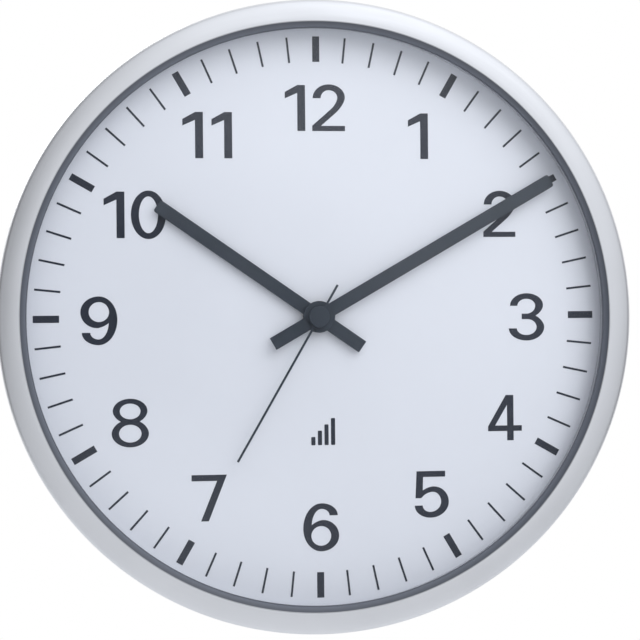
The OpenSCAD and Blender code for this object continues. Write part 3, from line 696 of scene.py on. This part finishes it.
# Plastics and rubbers: colour, size and height of the grain in millimetres, lowest and highest roughness
MOULDED = {
    "gasket_rubber": ((0.12, 0.13, 0.155), 0.4, 0.01, (0.6, 0.75)),
    "dark_plastic": ((0.09, 0.1, 0.11), 0.35, 0.012, (0.45, 0.6)),
    "bumper_rubber": ((0.03, 0.03, 0.033), 0.3, 0.02, (0.75, 0.9)),
    "movement_plastic": ((0.028, 0.028, 0.031), 0.4, 0.03, (0.42, 0.6)),
    "chip_black": ((0.015, 0.015, 0.016), 0.2, 0.02, (0.55, 0.7)),
    "bobbin_plastic": ((0.74, 0.7, 0.58), 0.5, 0.01, (0.4, 0.5)),
    "magnet": ((0.05, 0.05, 0.058), 0.2, 0.02, (0.5, 0.7)),
    "gear_plastic": ((0.8, 0.78, 0.7), 0.6, 0.006, (0.3, 0.42)),
    "button_red": ((0.5, 0.035, 0.025), 0.5, 0.008, (0.3, 0.42)),
    "button_grey": ((0.42, 0.43, 0.45), 0.5, 0.008, (0.3, 0.42)),
}

# Metals: colour, lowest and highest roughness, and how close the drawn streaks lie along X, Y and Z
PLATED = {
    "screw_steel": ((0.62, 0.63, 0.64), (0.25, 0.4), (3, 3, 3)),
    "plate_steel": ((0.66, 0.67, 0.69), (0.24, 0.45), (6, 0.25, 6)),
    "brass": ((0.72, 0.53, 0.24), (0.2, 0.35), (4, 4, 4)),
    "can_metal": ((0.72, 0.72, 0.7), (0.2, 0.35), (6, 0.25, 6)),
    "contact_metal": ((0.74, 0.73, 0.68), (0.16, 0.34), (6, 0.25, 6)),
    "soft_iron": ((0.36, 0.37, 0.39), (0.35, 0.55), (6, 0.25, 6)),
}


def finish_for(slot):
    """The material of one of the record's slots, made when it is first asked for."""
    return bpy.data.materials.get(slot + "_finish") or build_finish(slot)


def build_finish(slot):
    if slot in MOULDED:
        material = moulded(slot, *MOULDED[slot])
    elif slot in PLATED:
        material = plated(slot, *PLATED[slot])
    else:
        material = FINISHES[slot](bpy.context.scene.clock_look)
    material.name = slot + "_finish"
    return material


def dress(piece, slot):
    piece.data.materials.clear()
    piece.data.materials.append(finish_for(slot))


def carry(piece, node, *others):
    """A new piece takes the place, body, slot and finish of the solids that it stands for."""
    dress(piece, SLOT_OF[node])
    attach(piece, BODY_OF[node])
    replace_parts(piece, node, *others)
    return piece


def add_to_case(piece, slot):
    """A new piece that stands for no solid of its own."""
    dress(piece, slot)
    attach(piece, "clock_case")
    return piece


def keep_solid(node):
    """A solid whose shape is right gets its finish and nothing else."""
    for place in frame["nodes"][node].material_slots:
        place.material = finish_for(SLOT_OF[node])


def keep_softened(*nodes):
    """Solids whose shapes are right but for their sharp edges."""
    for node in nodes:
        carry(remade(node, *SOFT_EDGES[node]), node)


# Numerals: outlines in millimetres from each figure's own middle. The second and third are holes

FIGURES = {
    "0": [
        [(0, 11.6, RIGHT), (8.3, 0, DOWN), (0, -11.6, LEFT), (-8.3, 0, UP)],
        [(0, 8.8, LEFT), (-4.5, 0, DOWN), (0, -8.8, RIGHT), (4.5, 0, UP)],
    ],
    "1": [[(1.2, 11.1), (4.9, 11.1), (4.9, -11.1), (1.1, -11.1), (1.1, 7.3), (-4.9, 4.6), (-4.9, 7.7)]],
    "2": [[
        (-7.7, 4.8), (0.1, 11.5, RIGHT, UP), (7.95, 5.2, DOWN), (3.4, -2.3, 221), (-3.8, -8.6),
        (7.9, -8.6), (7.9, -11.1), (-8, -11.1), (-8, -8.5), (1.1, -0.5), (4.25, 5.1, UP, 41),
        (0.1, 8.7, LEFT), (-3.85, 4.8, DOWN),
    ]],
    "3": [[
        (-8.2, 5.5), (0, 11.6, RIGHT, UP), (8.3, 5.8, DOWN), (4.4, 0.6, 204), (8.8, -5, DOWN, 336),
        (0, -11.6, LEFT), (-8.9, -5.6, UP), (-4.9, -5.6), (0, -8.9, RIGHT, DOWN), (5, -5, UP),
        (0.4, -1.1, LEFT), (-2.4, -1.1), (-2.4, 1.6), (0, 1.6), (4.4, 5.5, UP, RIGHT),
        (0, 8.9, LEFT), (-4.5, 5.5, DOWN),
    ]],
    "4": [
        [
            (0.5, 11.1), (4.3, 11.1), (4.3, -3.8), (8.4, -3.8), (8.4, -6.5), (4.3, -6.5),
            (4.3, -11.1), (1.1, -11.1), (1.1, -6.5), (-8.4, -6.5), (-8.4, -4.2),
        ],
        [(-4.9, -3.8), (1.1, -3.8), (1.1, 6.3)],
    ],
    "5": [[
        (-7.4, 11.1), (6.7, 11.1), (6.7, 8.3), (-4.2, 8.3), (-4.4, 1.7), (0.9, 3.6, RIGHT, 38),
        (8.4, -3.9, DOWN), (-0.6, -11.6, LEFT), (-8.4, -5.6, UP), (-4.5, -5.6),
        (-0.8, -8.8, RIGHT, DOWN), (4.6, -3.8, UP), (0.5, 1, LEFT), (-5.1, -2, 238), (-8, -2),
    ]],
    "6": [
        [
            (8.1, 5.7), (0.2, 11.6, LEFT, UP), (-8.7, -0.6, DOWN), (0, -11.6, RIGHT), (8.7, -4.1, UP),
            (0.9, 3.5, LEFT), (-4.6, 1.1, 222), (0.2, 8.9, RIGHT, 88), (4.1, 5.7, DOWN),
        ],
        [(0, 0.6, RIGHT), (4.8, -4.1, DOWN), (0, -8.9, LEFT), (-4.8, -4.1, UP)],
    ],
    "7": [[(-8.4, 11.1), (8.5, 11.1), (-0.3, -11.1), (-4, -11.1), (3.8, 8.2), (-8.4, 8.2)]],
    "8": [
        [
            (0, 11.6, RIGHT), (8.2, 5.7, DOWN), (4.4, 0.7, 204), (8.8, -5, DOWN, 336), (0, -11.6, LEFT),
            (-8.8, -5, UP), (-4.4, 0.7, 24), (-8.2, 5.7, UP, 156),
        ],
        [(0, 9.3, LEFT), (-4.9, 5.6, DOWN), (0, 1.8, RIGHT), (4.9, 5.6, UP)],
        [(0, -0.8, LEFT), (-5.3, -5.1, DOWN), (0, -9.3, RIGHT), (5.3, -5.1, UP)],
    ],
}
FIGURES["9"] = [
    [(-p[0], -p[1], *((a + 180) % 360 for a in p[2:])) for p in outline] for outline in FIGURES["6"]
]

# Each figure on the dial with the place of its middle, by the hour that it belongs to
DIAL_FIGURES = {
    1: [("1", 49.6, 87.6)],
    2: [("2", 89.5, 49.5)],
    3: [("3", 102.6, -0.9)],
    4: [("4", 91.3, -50.2)],
    5: [("5", 54.7, -86.7)],
    6: [("6", 0.5, -101.7)],
    7: [("7", -53.2, -86.4)],
    8: [("8", -90.4, -49.8)],
    9: [("9", -104.7, -0.9)],
    10: [("1", -97.1, 49.5), ("0", -80.9, 49.5)],
    11: [("1", -59.5, 87.7), ("1", -45.6, 87.7)],
    12: [("1", -10.3, 101), ("2", 6, 101)],
}


# What a user would change


class ClockLook(bpy.types.PropertyGroup):
    """Colours, print and light of the clock."""

    rim_colour: FloatVectorProperty(
        name="Rim", description="Colour of the satin metal rim", subtype="COLOR",
        default=(0.8, 0.81, 0.83), min=0, max=1,
    )
    # The bevel's dark paint, which also stands in for the painted shade inside the rim's lip
    bevel_paint_and_shade: FloatVectorProperty(
        name="Rim bevel", description="Colour of the painted bevel round the glass", subtype="COLOR",
        default=(0.085, 0.094, 0.115), min=0, max=1,
    )
    dial_colour: FloatVectorProperty(
        name="Dial", description="Colour of the dial's lacquer", subtype="COLOR",
        default=(0.72, 0.738, 0.79), min=0, max=1,
    )
    ink_colour: FloatVectorProperty(
        name="Ink", description="Colour of the printed bars and numerals", subtype="COLOR",
        default=(0.019, 0.024, 0.038), min=0, max=1,
    )
    hand_colour: FloatVectorProperty(
        name="Hands", description="Colour of the hands and their cap", subtype="COLOR",
        default=(0.03, 0.039, 0.053), min=0, max=1,
    )
    ring_colour: FloatVectorProperty(
        name="Inner ring", description="Colour of the ring between dial and glass", subtype="COLOR",
        default=(0.5, 0.515, 0.55), min=0, max=1,
    )
    back_colour: FloatVectorProperty(
        name="Back", description="Colour of the plastic back", subtype="COLOR",
        default=(0.36, 0.37, 0.39), min=0, max=1,
    )
    glass_colour: FloatVectorProperty(
        name="Glass", description="Tint of the front glass", subtype="COLOR",
        default=(0.985, 0.99, 0.995), min=0, max=1,
    )
    glass_ior: FloatProperty(
        name="Glass index", description="Refractive index of the front glass",
        default=1.3, min=1, max=1.6,
    )
    print_height: FloatProperty(
        name="Ink height", description="Height of the printed figures, in millimetres",
        default=0.1, min=0.02, max=0.1,
    )
    figure_scale: FloatProperty(
        name="Figure size", description="Size of the numerals against their drawing", subtype="FACTOR",
        default=1.0, min=0.5, max=1.1,
    )


class ClockStudio(bpy.types.PropertyGroup):
    """Camera and light."""

    camera_distance: FloatProperty(
        name="Distance", description="From the dial's middle to the camera", subtype="DISTANCE",
        unit="LENGTH", default=0.554, min=0.3, max=3,
    )
    camera_azimuth: FloatProperty(
        name="Azimuth", description="The camera's turn to the right of the dial's axis",
        subtype="ANGLE", unit="ROTATION", default=radians(-4.7),
    )
    camera_elevation: FloatProperty(
        name="Elevation", description="The camera's rise above the dial's axis",
        subtype="ANGLE", unit="ROTATION", default=radians(-0.25),
    )
    camera_roll: FloatProperty(
        name="Roll", description="The camera's turn about its own axis",
        subtype="ANGLE", unit="ROTATION", default=radians(-0.54),
    )
    camera_lens: FloatProperty(
        name="Lens", description="Focal length in millimetres on a 36 mm sensor",
        default=64.4, min=20, max=200,
    )
    key_power: FloatProperty(
        name="Key lamp", description="Power of the lamp at the upper right",
        unit="POWER", default=1.08, min=0,
    )
    key_size: FloatProperty(
        name="Key lamp's side", description="Side of the lamp at the upper right", subtype="DISTANCE",
        unit="LENGTH", default=0.45, min=0.05, max=2,
    )
    front_power: FloatProperty(
        name="Front lamp", description="Power of the lamp behind the camera",
        unit="POWER", default=0.6, min=0,
    )
    back_power: FloatProperty(
        name="Back lamp", description="Power of the lamp behind the clock",
        unit="POWER", default=6, min=0,
    )
    room_colour: FloatVectorProperty(
        name="Room colour", description="Colour of the light from all round", subtype="COLOR",
        default=(0.965, 0.985, 1.03), min=0, max=2,
    )
    room_left: FloatProperty(
        name="Room, left", description="Brightness of the room at the left of the camera",
        default=0.32, min=0, max=1,
    )
    room_right: FloatProperty(
        name="Room, right", description="What the room's right side adds", default=0.4, min=0, max=1,
    )
    room_top: FloatProperty(
        name="Room, top", description="What the room's upper part adds", default=1.24, min=0, max=2,
    )
    room_low: FloatProperty(
        name="Room, low", description="What the room's lower part adds", default=0.72, min=0, max=1,
    )
    room_core: FloatProperty(
        name="Room, camera", description="Share of the light that is left round the camera",
        default=0.25, min=0, max=1,
    )
    room_behind: FloatProperty(
        name="Room, behind", description="Brightness of the room behind the clock",
        default=0.75, min=0, max=1,
    )


# Operators


class CLOCK_OT_rim(bpy.types.Operator):
    """Turn the domed metal rim with its bevel and its snap bead"""

    bl_idname = "clock.rim"
    bl_label = "Rim"
    bl_options = {"REGISTER", "UNDO"}

    def execute(self, context):
        dome = (RIM_R - DOME_IN, CREST - DOME_R)
        lip = front_of("lens_gasket")
        mouth_turn = degrees(acos((MOUTH_R - dome[0]) / DOME_R))
        edge_turn = degrees(acos((RIM_R - EDGE_R - dome[0]) / (DOME_R - EDGE_R)))
        edge = (RIM_R - EDGE_R, dome[1] + (DOME_R - EDGE_R) * sin(radians(edge_turn)))
        bead = (POCKET_R + BEAD_SUNK, BEAD_OUT)
        bead_turn = degrees(acos(-BEAD_SUNK / BEAD_R))
        section = [
            (THROAT_R, lip + BEVEL_FOOT),
            *arc(dome, DOME_R, mouth_turn, edge_turn, DOME_STEPS),
            *arc(edge, EDGE_R, edge_turn, 0, EDGE_STEPS)[1:],
            (RIM_R, RIM_BACK),
            (POCKET_R, RIM_BACK),
            *arc(bead, BEAD_R, 360 - bead_turn, bead_turn, BEAD_STEPS),
            (POCKET_R, lip - POCKET_CORNER),
            (POCKET_R - POCKET_CORNER, lip),
            (THROAT_R, lip),
        ]
        piece = turned("rim_metal", section)
        settle(piece)
        soften(piece, RIM_EASE, limit=RIM_EASE_LIMIT)
        carry(piece, "rim")
        return {"FINISHED"}


class CLOCK_OT_glass(bpy.types.Operator):
    """Make the front glass with ground edges, and the gasket that holds it"""

    bl_idname = "clock.glass"
    bl_label = "Glass and Gasket"
    bl_options = {"REGISTER", "UNDO"}

    def execute(self, context):
        r, low, high = radius_of("lens"), back_of("lens"), front_of("lens")
        section = [
            (0, low), (r - GROUND, low), (r, low + GROUND),
            (r, high - GROUND), (r - GROUND, high), (0, high),
        ]
        glass = turned("lens_glass", section, ring=False)
        settle(glass, SMOOTH_GLASS)
        carry(glass, "lens")
        r, low, high = radius_of("lens_gasket"), back_of("lens_gasket"), front_of("lens_gasket")
        lip_r = GASKET_R + GASKET_LIP
        round_lip = arc((lip_r, (low + high) / 2), GASKET_LIP, 90, 270, LIP_STEPS)[1:-1]
        section = [(r, low), (r, high), (lip_r, high), *round_lip, (lip_r, low)]
        gasket = turned("gasket_ring", section)
        settle(gasket)
        carry(gasket, "lens_gasket")
        return {"FINISHED"}


class CLOCK_OT_dial(bpy.types.Operator):
    """Finish the dial, its printed bars, its backing plate and the ring in front of it"""

    bl_idname = "clock.dial"
    bl_label = "Dial"
    bl_options = {"REGISTER", "UNDO"}

    def execute(self, context):
        washer("dial_disc", "dial", BUSH_HOLE_R, DIAL_EASE)
        washer("dial_backing", "dial_plate", BUSH_HOLE_R, BACKING_EASE)
        keep_softened("spacer_ring")
        carry(remade("dial_print"), "dial_print")
        return {"FINISHED"}


class CLOCK_OT_figures(bpy.types.Operator):
    """Print the numerals from 1 to 12 on the dial"""

    bl_idname = "clock.figures"
    bl_label = "Numerals"
    bl_options = {"REGISTER", "UNDO"}

    def execute(self, context):
        size = context.scene.clock_look.figure_scale
        for hour, figures in DIAL_FIGURES.items():
            parts = []
            for figure, x, y in figures:
                outlines = [[(p[0] * size, p[1] * size, *p[2:]) for p in o] for o in FIGURES[figure]]
                parts.append(printed(f"figure_{hour}", outlines, (x, y)))
            add_to_case(joined(f"numeral_{hour:02d}", parts), "dial_ink")
        return {"FINISHED"}


class CLOCK_OT_signal_mark(bpy.types.Operator):
    """Print four plain signal bars below the hands' axis"""

    bl_idname = "clock.signal_mark"
    bl_label = "Signal Bars"
    bl_options = {"REGISTER", "UNDO"}

    def execute(self, context):
        bars = []
        for i in range(BARS):
            bar = box_outline((-BAR_HALF, 0), (BAR_HALF, BAR_HIGH + BAR_GROWTH * i), BAR_CORNER)
            bars.append(printed(f"bar_{i}", [bar], (BAR_X + BAR_STEP * i, BAR_Y)))
        add_to_case(joined("signal_mark", bars), "dial_ink")
        return {"FINISHED"}


class CLOCK_OT_hands(bpy.types.Operator):
    """Finish the three hands, their cap and the brass parts at their middle"""

    bl_idname = "clock.hands"
    bl_label = "Hands"
    bl_options = {"REGISTER", "UNDO"}

    def execute(self, context):
        keep_softened("hour_hand", "minute_hand", "second_hand", "second_cap")
        keep_softened("second_collet", "bush_washer", "bush_nut")
        return {"FINISHED"}


class CLOCK_OT_back(bpy.types.Operator):
    """Finish the plastic back, its screws, its rubber bumpers and the steel keyhole plate"""

    bl_idname = "clock.back"
    bl_label = "Back"
    bl_options = {"REGISTER", "UNDO"}

    def execute(self, context):
        self.turn_ring()
        self.shape_plate()
        keep_softened("pan_screws")
        self.stamp_hanger()
        keep_softened("hanger_screws", "wall_bumpers")
        return {"FINISHED"}

    def turn_ring(self):
        low, high, wide = back_of("back_ring"), front_of("back_ring"), radius_of("back_ring")
        section = [
            (RING_IN, low), (RING_R, low), (RING_R, FLANGE_LOW - RING_FILLET),
            (RING_R + RING_FILLET, FLANGE_LOW), (wide, FLANGE_LOW), (wide, FLANGE_HIGH),
            (RING_R + RING_FILLET, FLANGE_HIGH), (RING_R, FLANGE_HIGH + RING_FILLET), (RING_R, high),
            (RING_IN, high), (RING_IN, LEDGE_HIGH), (LEDGE_R, LEDGE_HIGH), (LEDGE_R, LEDGE_LOW),
            (RING_IN, LEDGE_LOW),
        ]
        ring = turned("back_ring_moulding", section)
        settle(ring)
        soften(ring, RING_EASE)
        carry(ring, "back_ring")

    def shape_plate(self):
        """A round plate with a window, with beads, a lip and ribs behind it and screw bosses inside."""
        low = back_of("back_plate")
        relief = (low - RELIEF, low + RELIEF_SUNK)
        holes = [box_outline(*WINDOW), box_outline(*CUT_OUT)]
        outlines = [round_outline(0, 0, PLATE_R), *holes]
        parts = [flat_outline("plate", outlines, low, low + PLATE_THICK, ease=PLATE_EASE, fine=PLATE_STEPS)]
        (x0, y0), (x1, y1), r = WINDOW
        lip = box_outline((x0 - LIP_WIDTH, y0 - LIP_WIDTH), (x1 + LIP_WIDTH, y1 + LIP_WIDTH), r + LIP_WIDTH)
        parts.append(flat_outline("lip", [lip, holes[0]], *relief, ease=LIP_EASE))
        for r in ROUND_BEADS:
            crown = arc((r, relief[1]), relief[1] - relief[0], *ROUND_BEAD_ARC)
            edges = (r - ROUND_BEAD_HALF, relief[1]), (r + ROUND_BEAD_HALF, relief[1])
            parts.append(turned("bead", [edges[0], *crown, edges[1]]))
        outline = box_outline((RIB_START, -RIB_HALF), (RIB_END, RIB_HALF), RIB_CORNER)
        rib = flat_outline("rib", [outline], *relief, ease=RIB_EASE)
        ribs = copied(rib, [(0, 0, a) for a in RIB_ANGLES])
        bpy.data.objects.remove(ribs.pop(0))
        end, foot = low + BOSS_LEN, low + PLATE_THICK - BOSS_SUNK
        section = [(0, end), (BOSS_R, end), (BOSS_R, foot)]
        first_x, first_y = HANGER_SCREWS[0]
        boss = turned("boss", section, BOSS_STEPS, ring=False, centre=(first_x, first_y))
        away = [(x - first_x, y - first_y, 0) for x, y in HANGER_SCREWS[1:]]
        piece = joined("back_plate_moulding", parts + ribs + copied(boss, away))
        settle(piece, SMOOTH_FLAT)
        carry(piece, "back_plate")

    def stamp_hanger(self):
        """A stamped steel plate with a keyhole and a hole for each of its screws."""
        (x0, y0), (x1, y1) = [(c.x / MM, (c.z - HUB_Z) / MM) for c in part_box("hanger_plate")]
        rise = KEYHOLE_Y + (KEYHOLE_R ** 2 - SLOT_R ** 2) ** 0.5
        lean = degrees(acos(SLOT_R / KEYHOLE_R))
        keyhole = [
            (-SLOT_R, rise, 90 - lean), (-SLOT_R, SLOT_TOP), (0, SLOT_TOP + SLOT_R, RIGHT, UP),
            (SLOT_R, SLOT_TOP, DOWN), (SLOT_R, rise), (KEYHOLE_R, KEYHOLE_Y, DOWN, 270 + lean),
            (0, KEYHOLE_Y - KEYHOLE_R, LEFT), (-KEYHOLE_R, KEYHOLE_Y, UP),
        ]
        outlines = [box_outline((x0, y0), (x1, y1), HANGER_CORNER), keyhole]
        outlines += [round_outline(x, y, HANGER_HOLE_R) for x, y in HANGER_SCREWS]
        low, high = back_of("hanger_plate"), front_of("hanger_plate")
        plate = flat_outline("hanger_plate_steel", outlines, low, high, ease=HANGER_EASE, fine=HANGER_STEPS)
        carry(plate, "hanger_plate")


class CLOCK_OT_movement(bpy.types.Operator):
    """Finish the movement's two shells, its screws and its three buttons"""

    bl_idname = "clock.movement"
    bl_label = "Movement"
    bl_options = {"REGISTER", "UNDO"}

    def execute(self, context):
        keep_softened("movement_front")
        back = remade("movement_back")
        round_back_edges(back, SHELL_EASE)
        plus = flat_outline("plus", [PLUS], *MARK_HEIGHT, POLE_MARKS[0], ease=MARK_EASE)
        minus = flat_outline("minus", [box_outline(*MINUS)], *MARK_HEIGHT, POLE_MARKS[1], ease=MARK_EASE)
        carry(joined("movement_back_shell", [back, plus, minus]), "movement_back")
        keep_softened("movement_screws", "button_receive", "button_set", "button_reset")
        return {"FINISHED"}


class CLOCK_OT_battery(bpy.types.Operator):
    """Finish the battery and its two contacts"""

    bl_idname = "clock.battery"
    bl_label = "Battery"
    bl_options = {"REGISTER", "UNDO"}

    def execute(self, context):
        keep_softened("battery", "positive_contact", "negative_contact")
        return {"FINISHED"}


class CLOCK_OT_works(bpy.types.Operator):
    """Give the wheels, motors, aerial and circuit board inside the movement their finishes"""

    bl_idname = "clock.works"
    bl_label = "Works"
    bl_options = {"REGISTER", "UNDO"}

    def execute(self, context):
        done = {n for o in bpy.data.objects for n in o.get("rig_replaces", [])}
        for node in sorted(set(SLOT_OF) - done):
            keep_solid(node)
        return {"FINISHED"}


# The stage

# Where the lamps stand from the dial's middle, their sides, and the floor below the rim, in metres
KEY_AT, FRONT_AT, BACK_AT = (0.26, -0.4, 0.32), (0.08, -0.6, 0.08), (-0.7, 1.1, 0.7)
FRONT_SIDE, BACK_SIDE = 0.4, 0.8
FLOOR_DROP, FLOOR_SIDE = 0.32, 2

# What the camera looks at, on the dial in millimetres, and how near it sees, in metres
AIM = (0.9, -1.5, 0)
NEAR = 0.01

# The room's bright parts: their turn from twelve o'clock in degrees, and how narrow they are
TOP_LIGHT, RIGHT_LIGHT, LOW_LIGHT = (15, 3), (80, 2), (195, 2)

# Where the room's light changes, by a direction's part away from the camera (Y) and upwards (Z)
CORE_Y, BEHIND_Y = (-0.9976, -0.9877), (0, 0.3)
SIDE_Y, SIDE_Z, SIDE_LEVELS = (-0.75, -0.45), (-0.2, 0.4), (0.25, 0.65)


def aimed(thing, target):
    thing.rotation_mode = "QUATERNION"
    thing.rotation_quaternion = (target - thing.location).to_track_quat("-Z", "Y")


def softbox(name, place, target, size, power):
    """A square lamp that faces a point."""
    bpy.ops.object.light_add(type="AREA", location=place)
    lamp = bpy.context.object
    lamp.name = name
    lamp.data.size = size
    lamp.data.energy = power
    aimed(lamp, target)
    return lamp


class CLOCK_OT_stage(bpy.types.Operator):
    """Set up the camera, the lamps, the floor and the white background"""

    bl_idname = "clock.stage"
    bl_label = "Stage"
    bl_options = {"REGISTER", "UNDO"}

    def execute(self, context):
        studio = context.scene.clock_studio
        middle = spot(0, 0, 0)
        self.place_camera(context, studio, middle)
        for name, reach, side, power in (
            ("key_lamp", KEY_AT, studio.key_size, studio.key_power),
            ("front_lamp", FRONT_AT, FRONT_SIDE, studio.front_power),
        ):
            lamp = softbox(name, middle + Vector(reach), middle, side, power)
            lamp.visible_camera = lamp.visible_glossy = lamp.visible_transmission = False
        softbox("back_lamp", middle + Vector(BACK_AT), middle, BACK_SIDE, studio.back_power)
        self.lay_floor(context)
        self.fill_room(context, studio)
        context.scene.view_settings.view_transform = "Standard"
        return {"FINISHED"}

    def place_camera(self, context, studio, middle):
        a, e = studio.camera_azimuth, studio.camera_elevation
        back = Vector((sin(a) * cos(e), -cos(a) * cos(e), sin(e)))
        bpy.ops.object.camera_add(location=middle + back * studio.camera_distance)
        camera = context.object
        camera.name = "camera"
        camera.data.lens = studio.camera_lens
        camera.data.clip_start = NEAR
        aimed(camera, spot(*AIM))
        camera.rotation_quaternion @= Quaternion((0, 0, 1), studio.camera_roll)
        context.scene.camera = camera

    def lay_floor(self, context):
        bpy.ops.mesh.primitive_plane_add(size=FLOOR_SIDE, location=(0, 0, RIM_LOW.z - FLOOR_DROP))
        floor = context.object
        floor.name = "floor"
        finish = Finish("floor_card", Roughness=0.9)
        finish.paint(finish.colours(finish.grain(40), (0.78, 0.79, 0.8), (0.82, 0.82, 0.83)))
        floor.data.materials.append(finish.material)

    def fill_room(self, context, studio):
        """White for the camera and for mirror images of what is behind the clock. As light, the room is
        bright above, weaker below and at the right, weakest at the left and dim round the camera.
        """
        world = bpy.data.worlds.new("room")
        context.scene.world = world
        room = Graph(world)
        way = room.node("ShaderNodeTexCoord").outputs["Generated"]
        _, y, z = room.node("ShaderNodeSeparateXYZ", {0: way}).outputs
        around = room.vector("NORMALIZE", room.vector("MULTIPLY", way, (1, 0, 1)).outputs[0]).outputs[0]
        level = studio.room_left
        for added, (clock_turn, narrow) in (
            (studio.room_top, TOP_LIGHT), (studio.room_right, RIGHT_LIGHT), (studio.room_low, LOW_LIGHT),
        ):
            towards = (sin(radians(clock_turn)), 0, cos(radians(clock_turn)))
            lean = room.vector("DOT_PRODUCT", around, towards).outputs["Value"]
            share = room.sums("POWER", room.between(lean, 0, 1, 0, 1), narrow)
            level = room.sums("MULTIPLY_ADD", share, added, level)
        level = room.sums("MULTIPLY", level, room.between(y, studio.room_core, 1, *CORE_Y))
        side = room.between(z, *SIDE_LEVELS, *SIDE_Z)
        level = room.sums("MULTIPLY", level, room.between(y, 1, side, *SIDE_Y))
        level = room.between(y, level, studio.room_behind, *BEHIND_Y)
        soft = room.nodes["Background"]
        soft.inputs["Color"].default_value = (*studio.room_colour, 1)
        room.links.new(level, soft.inputs["Strength"])
        white = room.node("ShaderNodeBackground", {"Color": (1, 1, 1, 1), "Strength": 1.0})
        rays = room.node("ShaderNodeLightPath").outputs
        mirrored = room.sums("MAXIMUM", rays["Is Glossy Ray"], rays["Is Transmission Ray"])
        behind = room.sums("MULTIPLY", mirrored, room.between(y, 0, 1, *BEHIND_Y))
        seen = room.sums("MAXIMUM", rays["Is Camera Ray"], behind)
        mix = room.node("ShaderNodeMixShader", {0: seen, 1: soft.outputs[0], 2: white.outputs[0]})
        room.links.new(mix.outputs[0], room.nodes["World Output"].inputs["Surface"])


OPERATORS = (
    CLOCK_OT_stage,
    CLOCK_OT_rim,
    CLOCK_OT_glass,
    CLOCK_OT_dial,
    CLOCK_OT_figures,
    CLOCK_OT_signal_mark,
    CLOCK_OT_hands,
    CLOCK_OT_back,
    CLOCK_OT_movement,
    CLOCK_OT_battery,
    CLOCK_OT_works,
)


class CLOCK_PT_panel(bpy.types.Panel):
    """Lists the clock's pieces in the sidebar"""

    bl_idname = "CLOCK_PT_panel"
    bl_label = "Wall Clock"
    bl_space_type = "VIEW_3D"
    bl_region_type = "UI"
    bl_category = "Clock"

    def draw(self, context):
        for group in (context.scene.clock_look, context.scene.clock_studio):
            column = self.layout.column(align=True)
            for name in group.__annotations__:
                column.prop(group, name)
        column = self.layout.column(align=True)
        for operator in OPERATORS:
            column.operator(operator.bl_idname)


CLASSES = (ClockLook, ClockStudio, *OPERATORS, CLOCK_PT_panel)


def register():
    for cls in CLASSES:
        bpy.utils.register_class(cls)
    bpy.types.Scene.clock_look = PointerProperty(type=ClockLook)
    bpy.types.Scene.clock_studio = PointerProperty(type=ClockStudio)


def unregister():
    del bpy.types.Scene.clock_look
    del bpy.types.Scene.clock_studio
    for cls in reversed(CLASSES):
        bpy.utils.unregister_class(cls)


def main():
    register()
    bpy.ops.object.select_all(action="DESELECT")
    for operator in OPERATORS:
        group, name = operator.bl_idname.split(".")
        getattr(getattr(bpy.ops, group), name)()


if __name__ == "__main__":
    main()
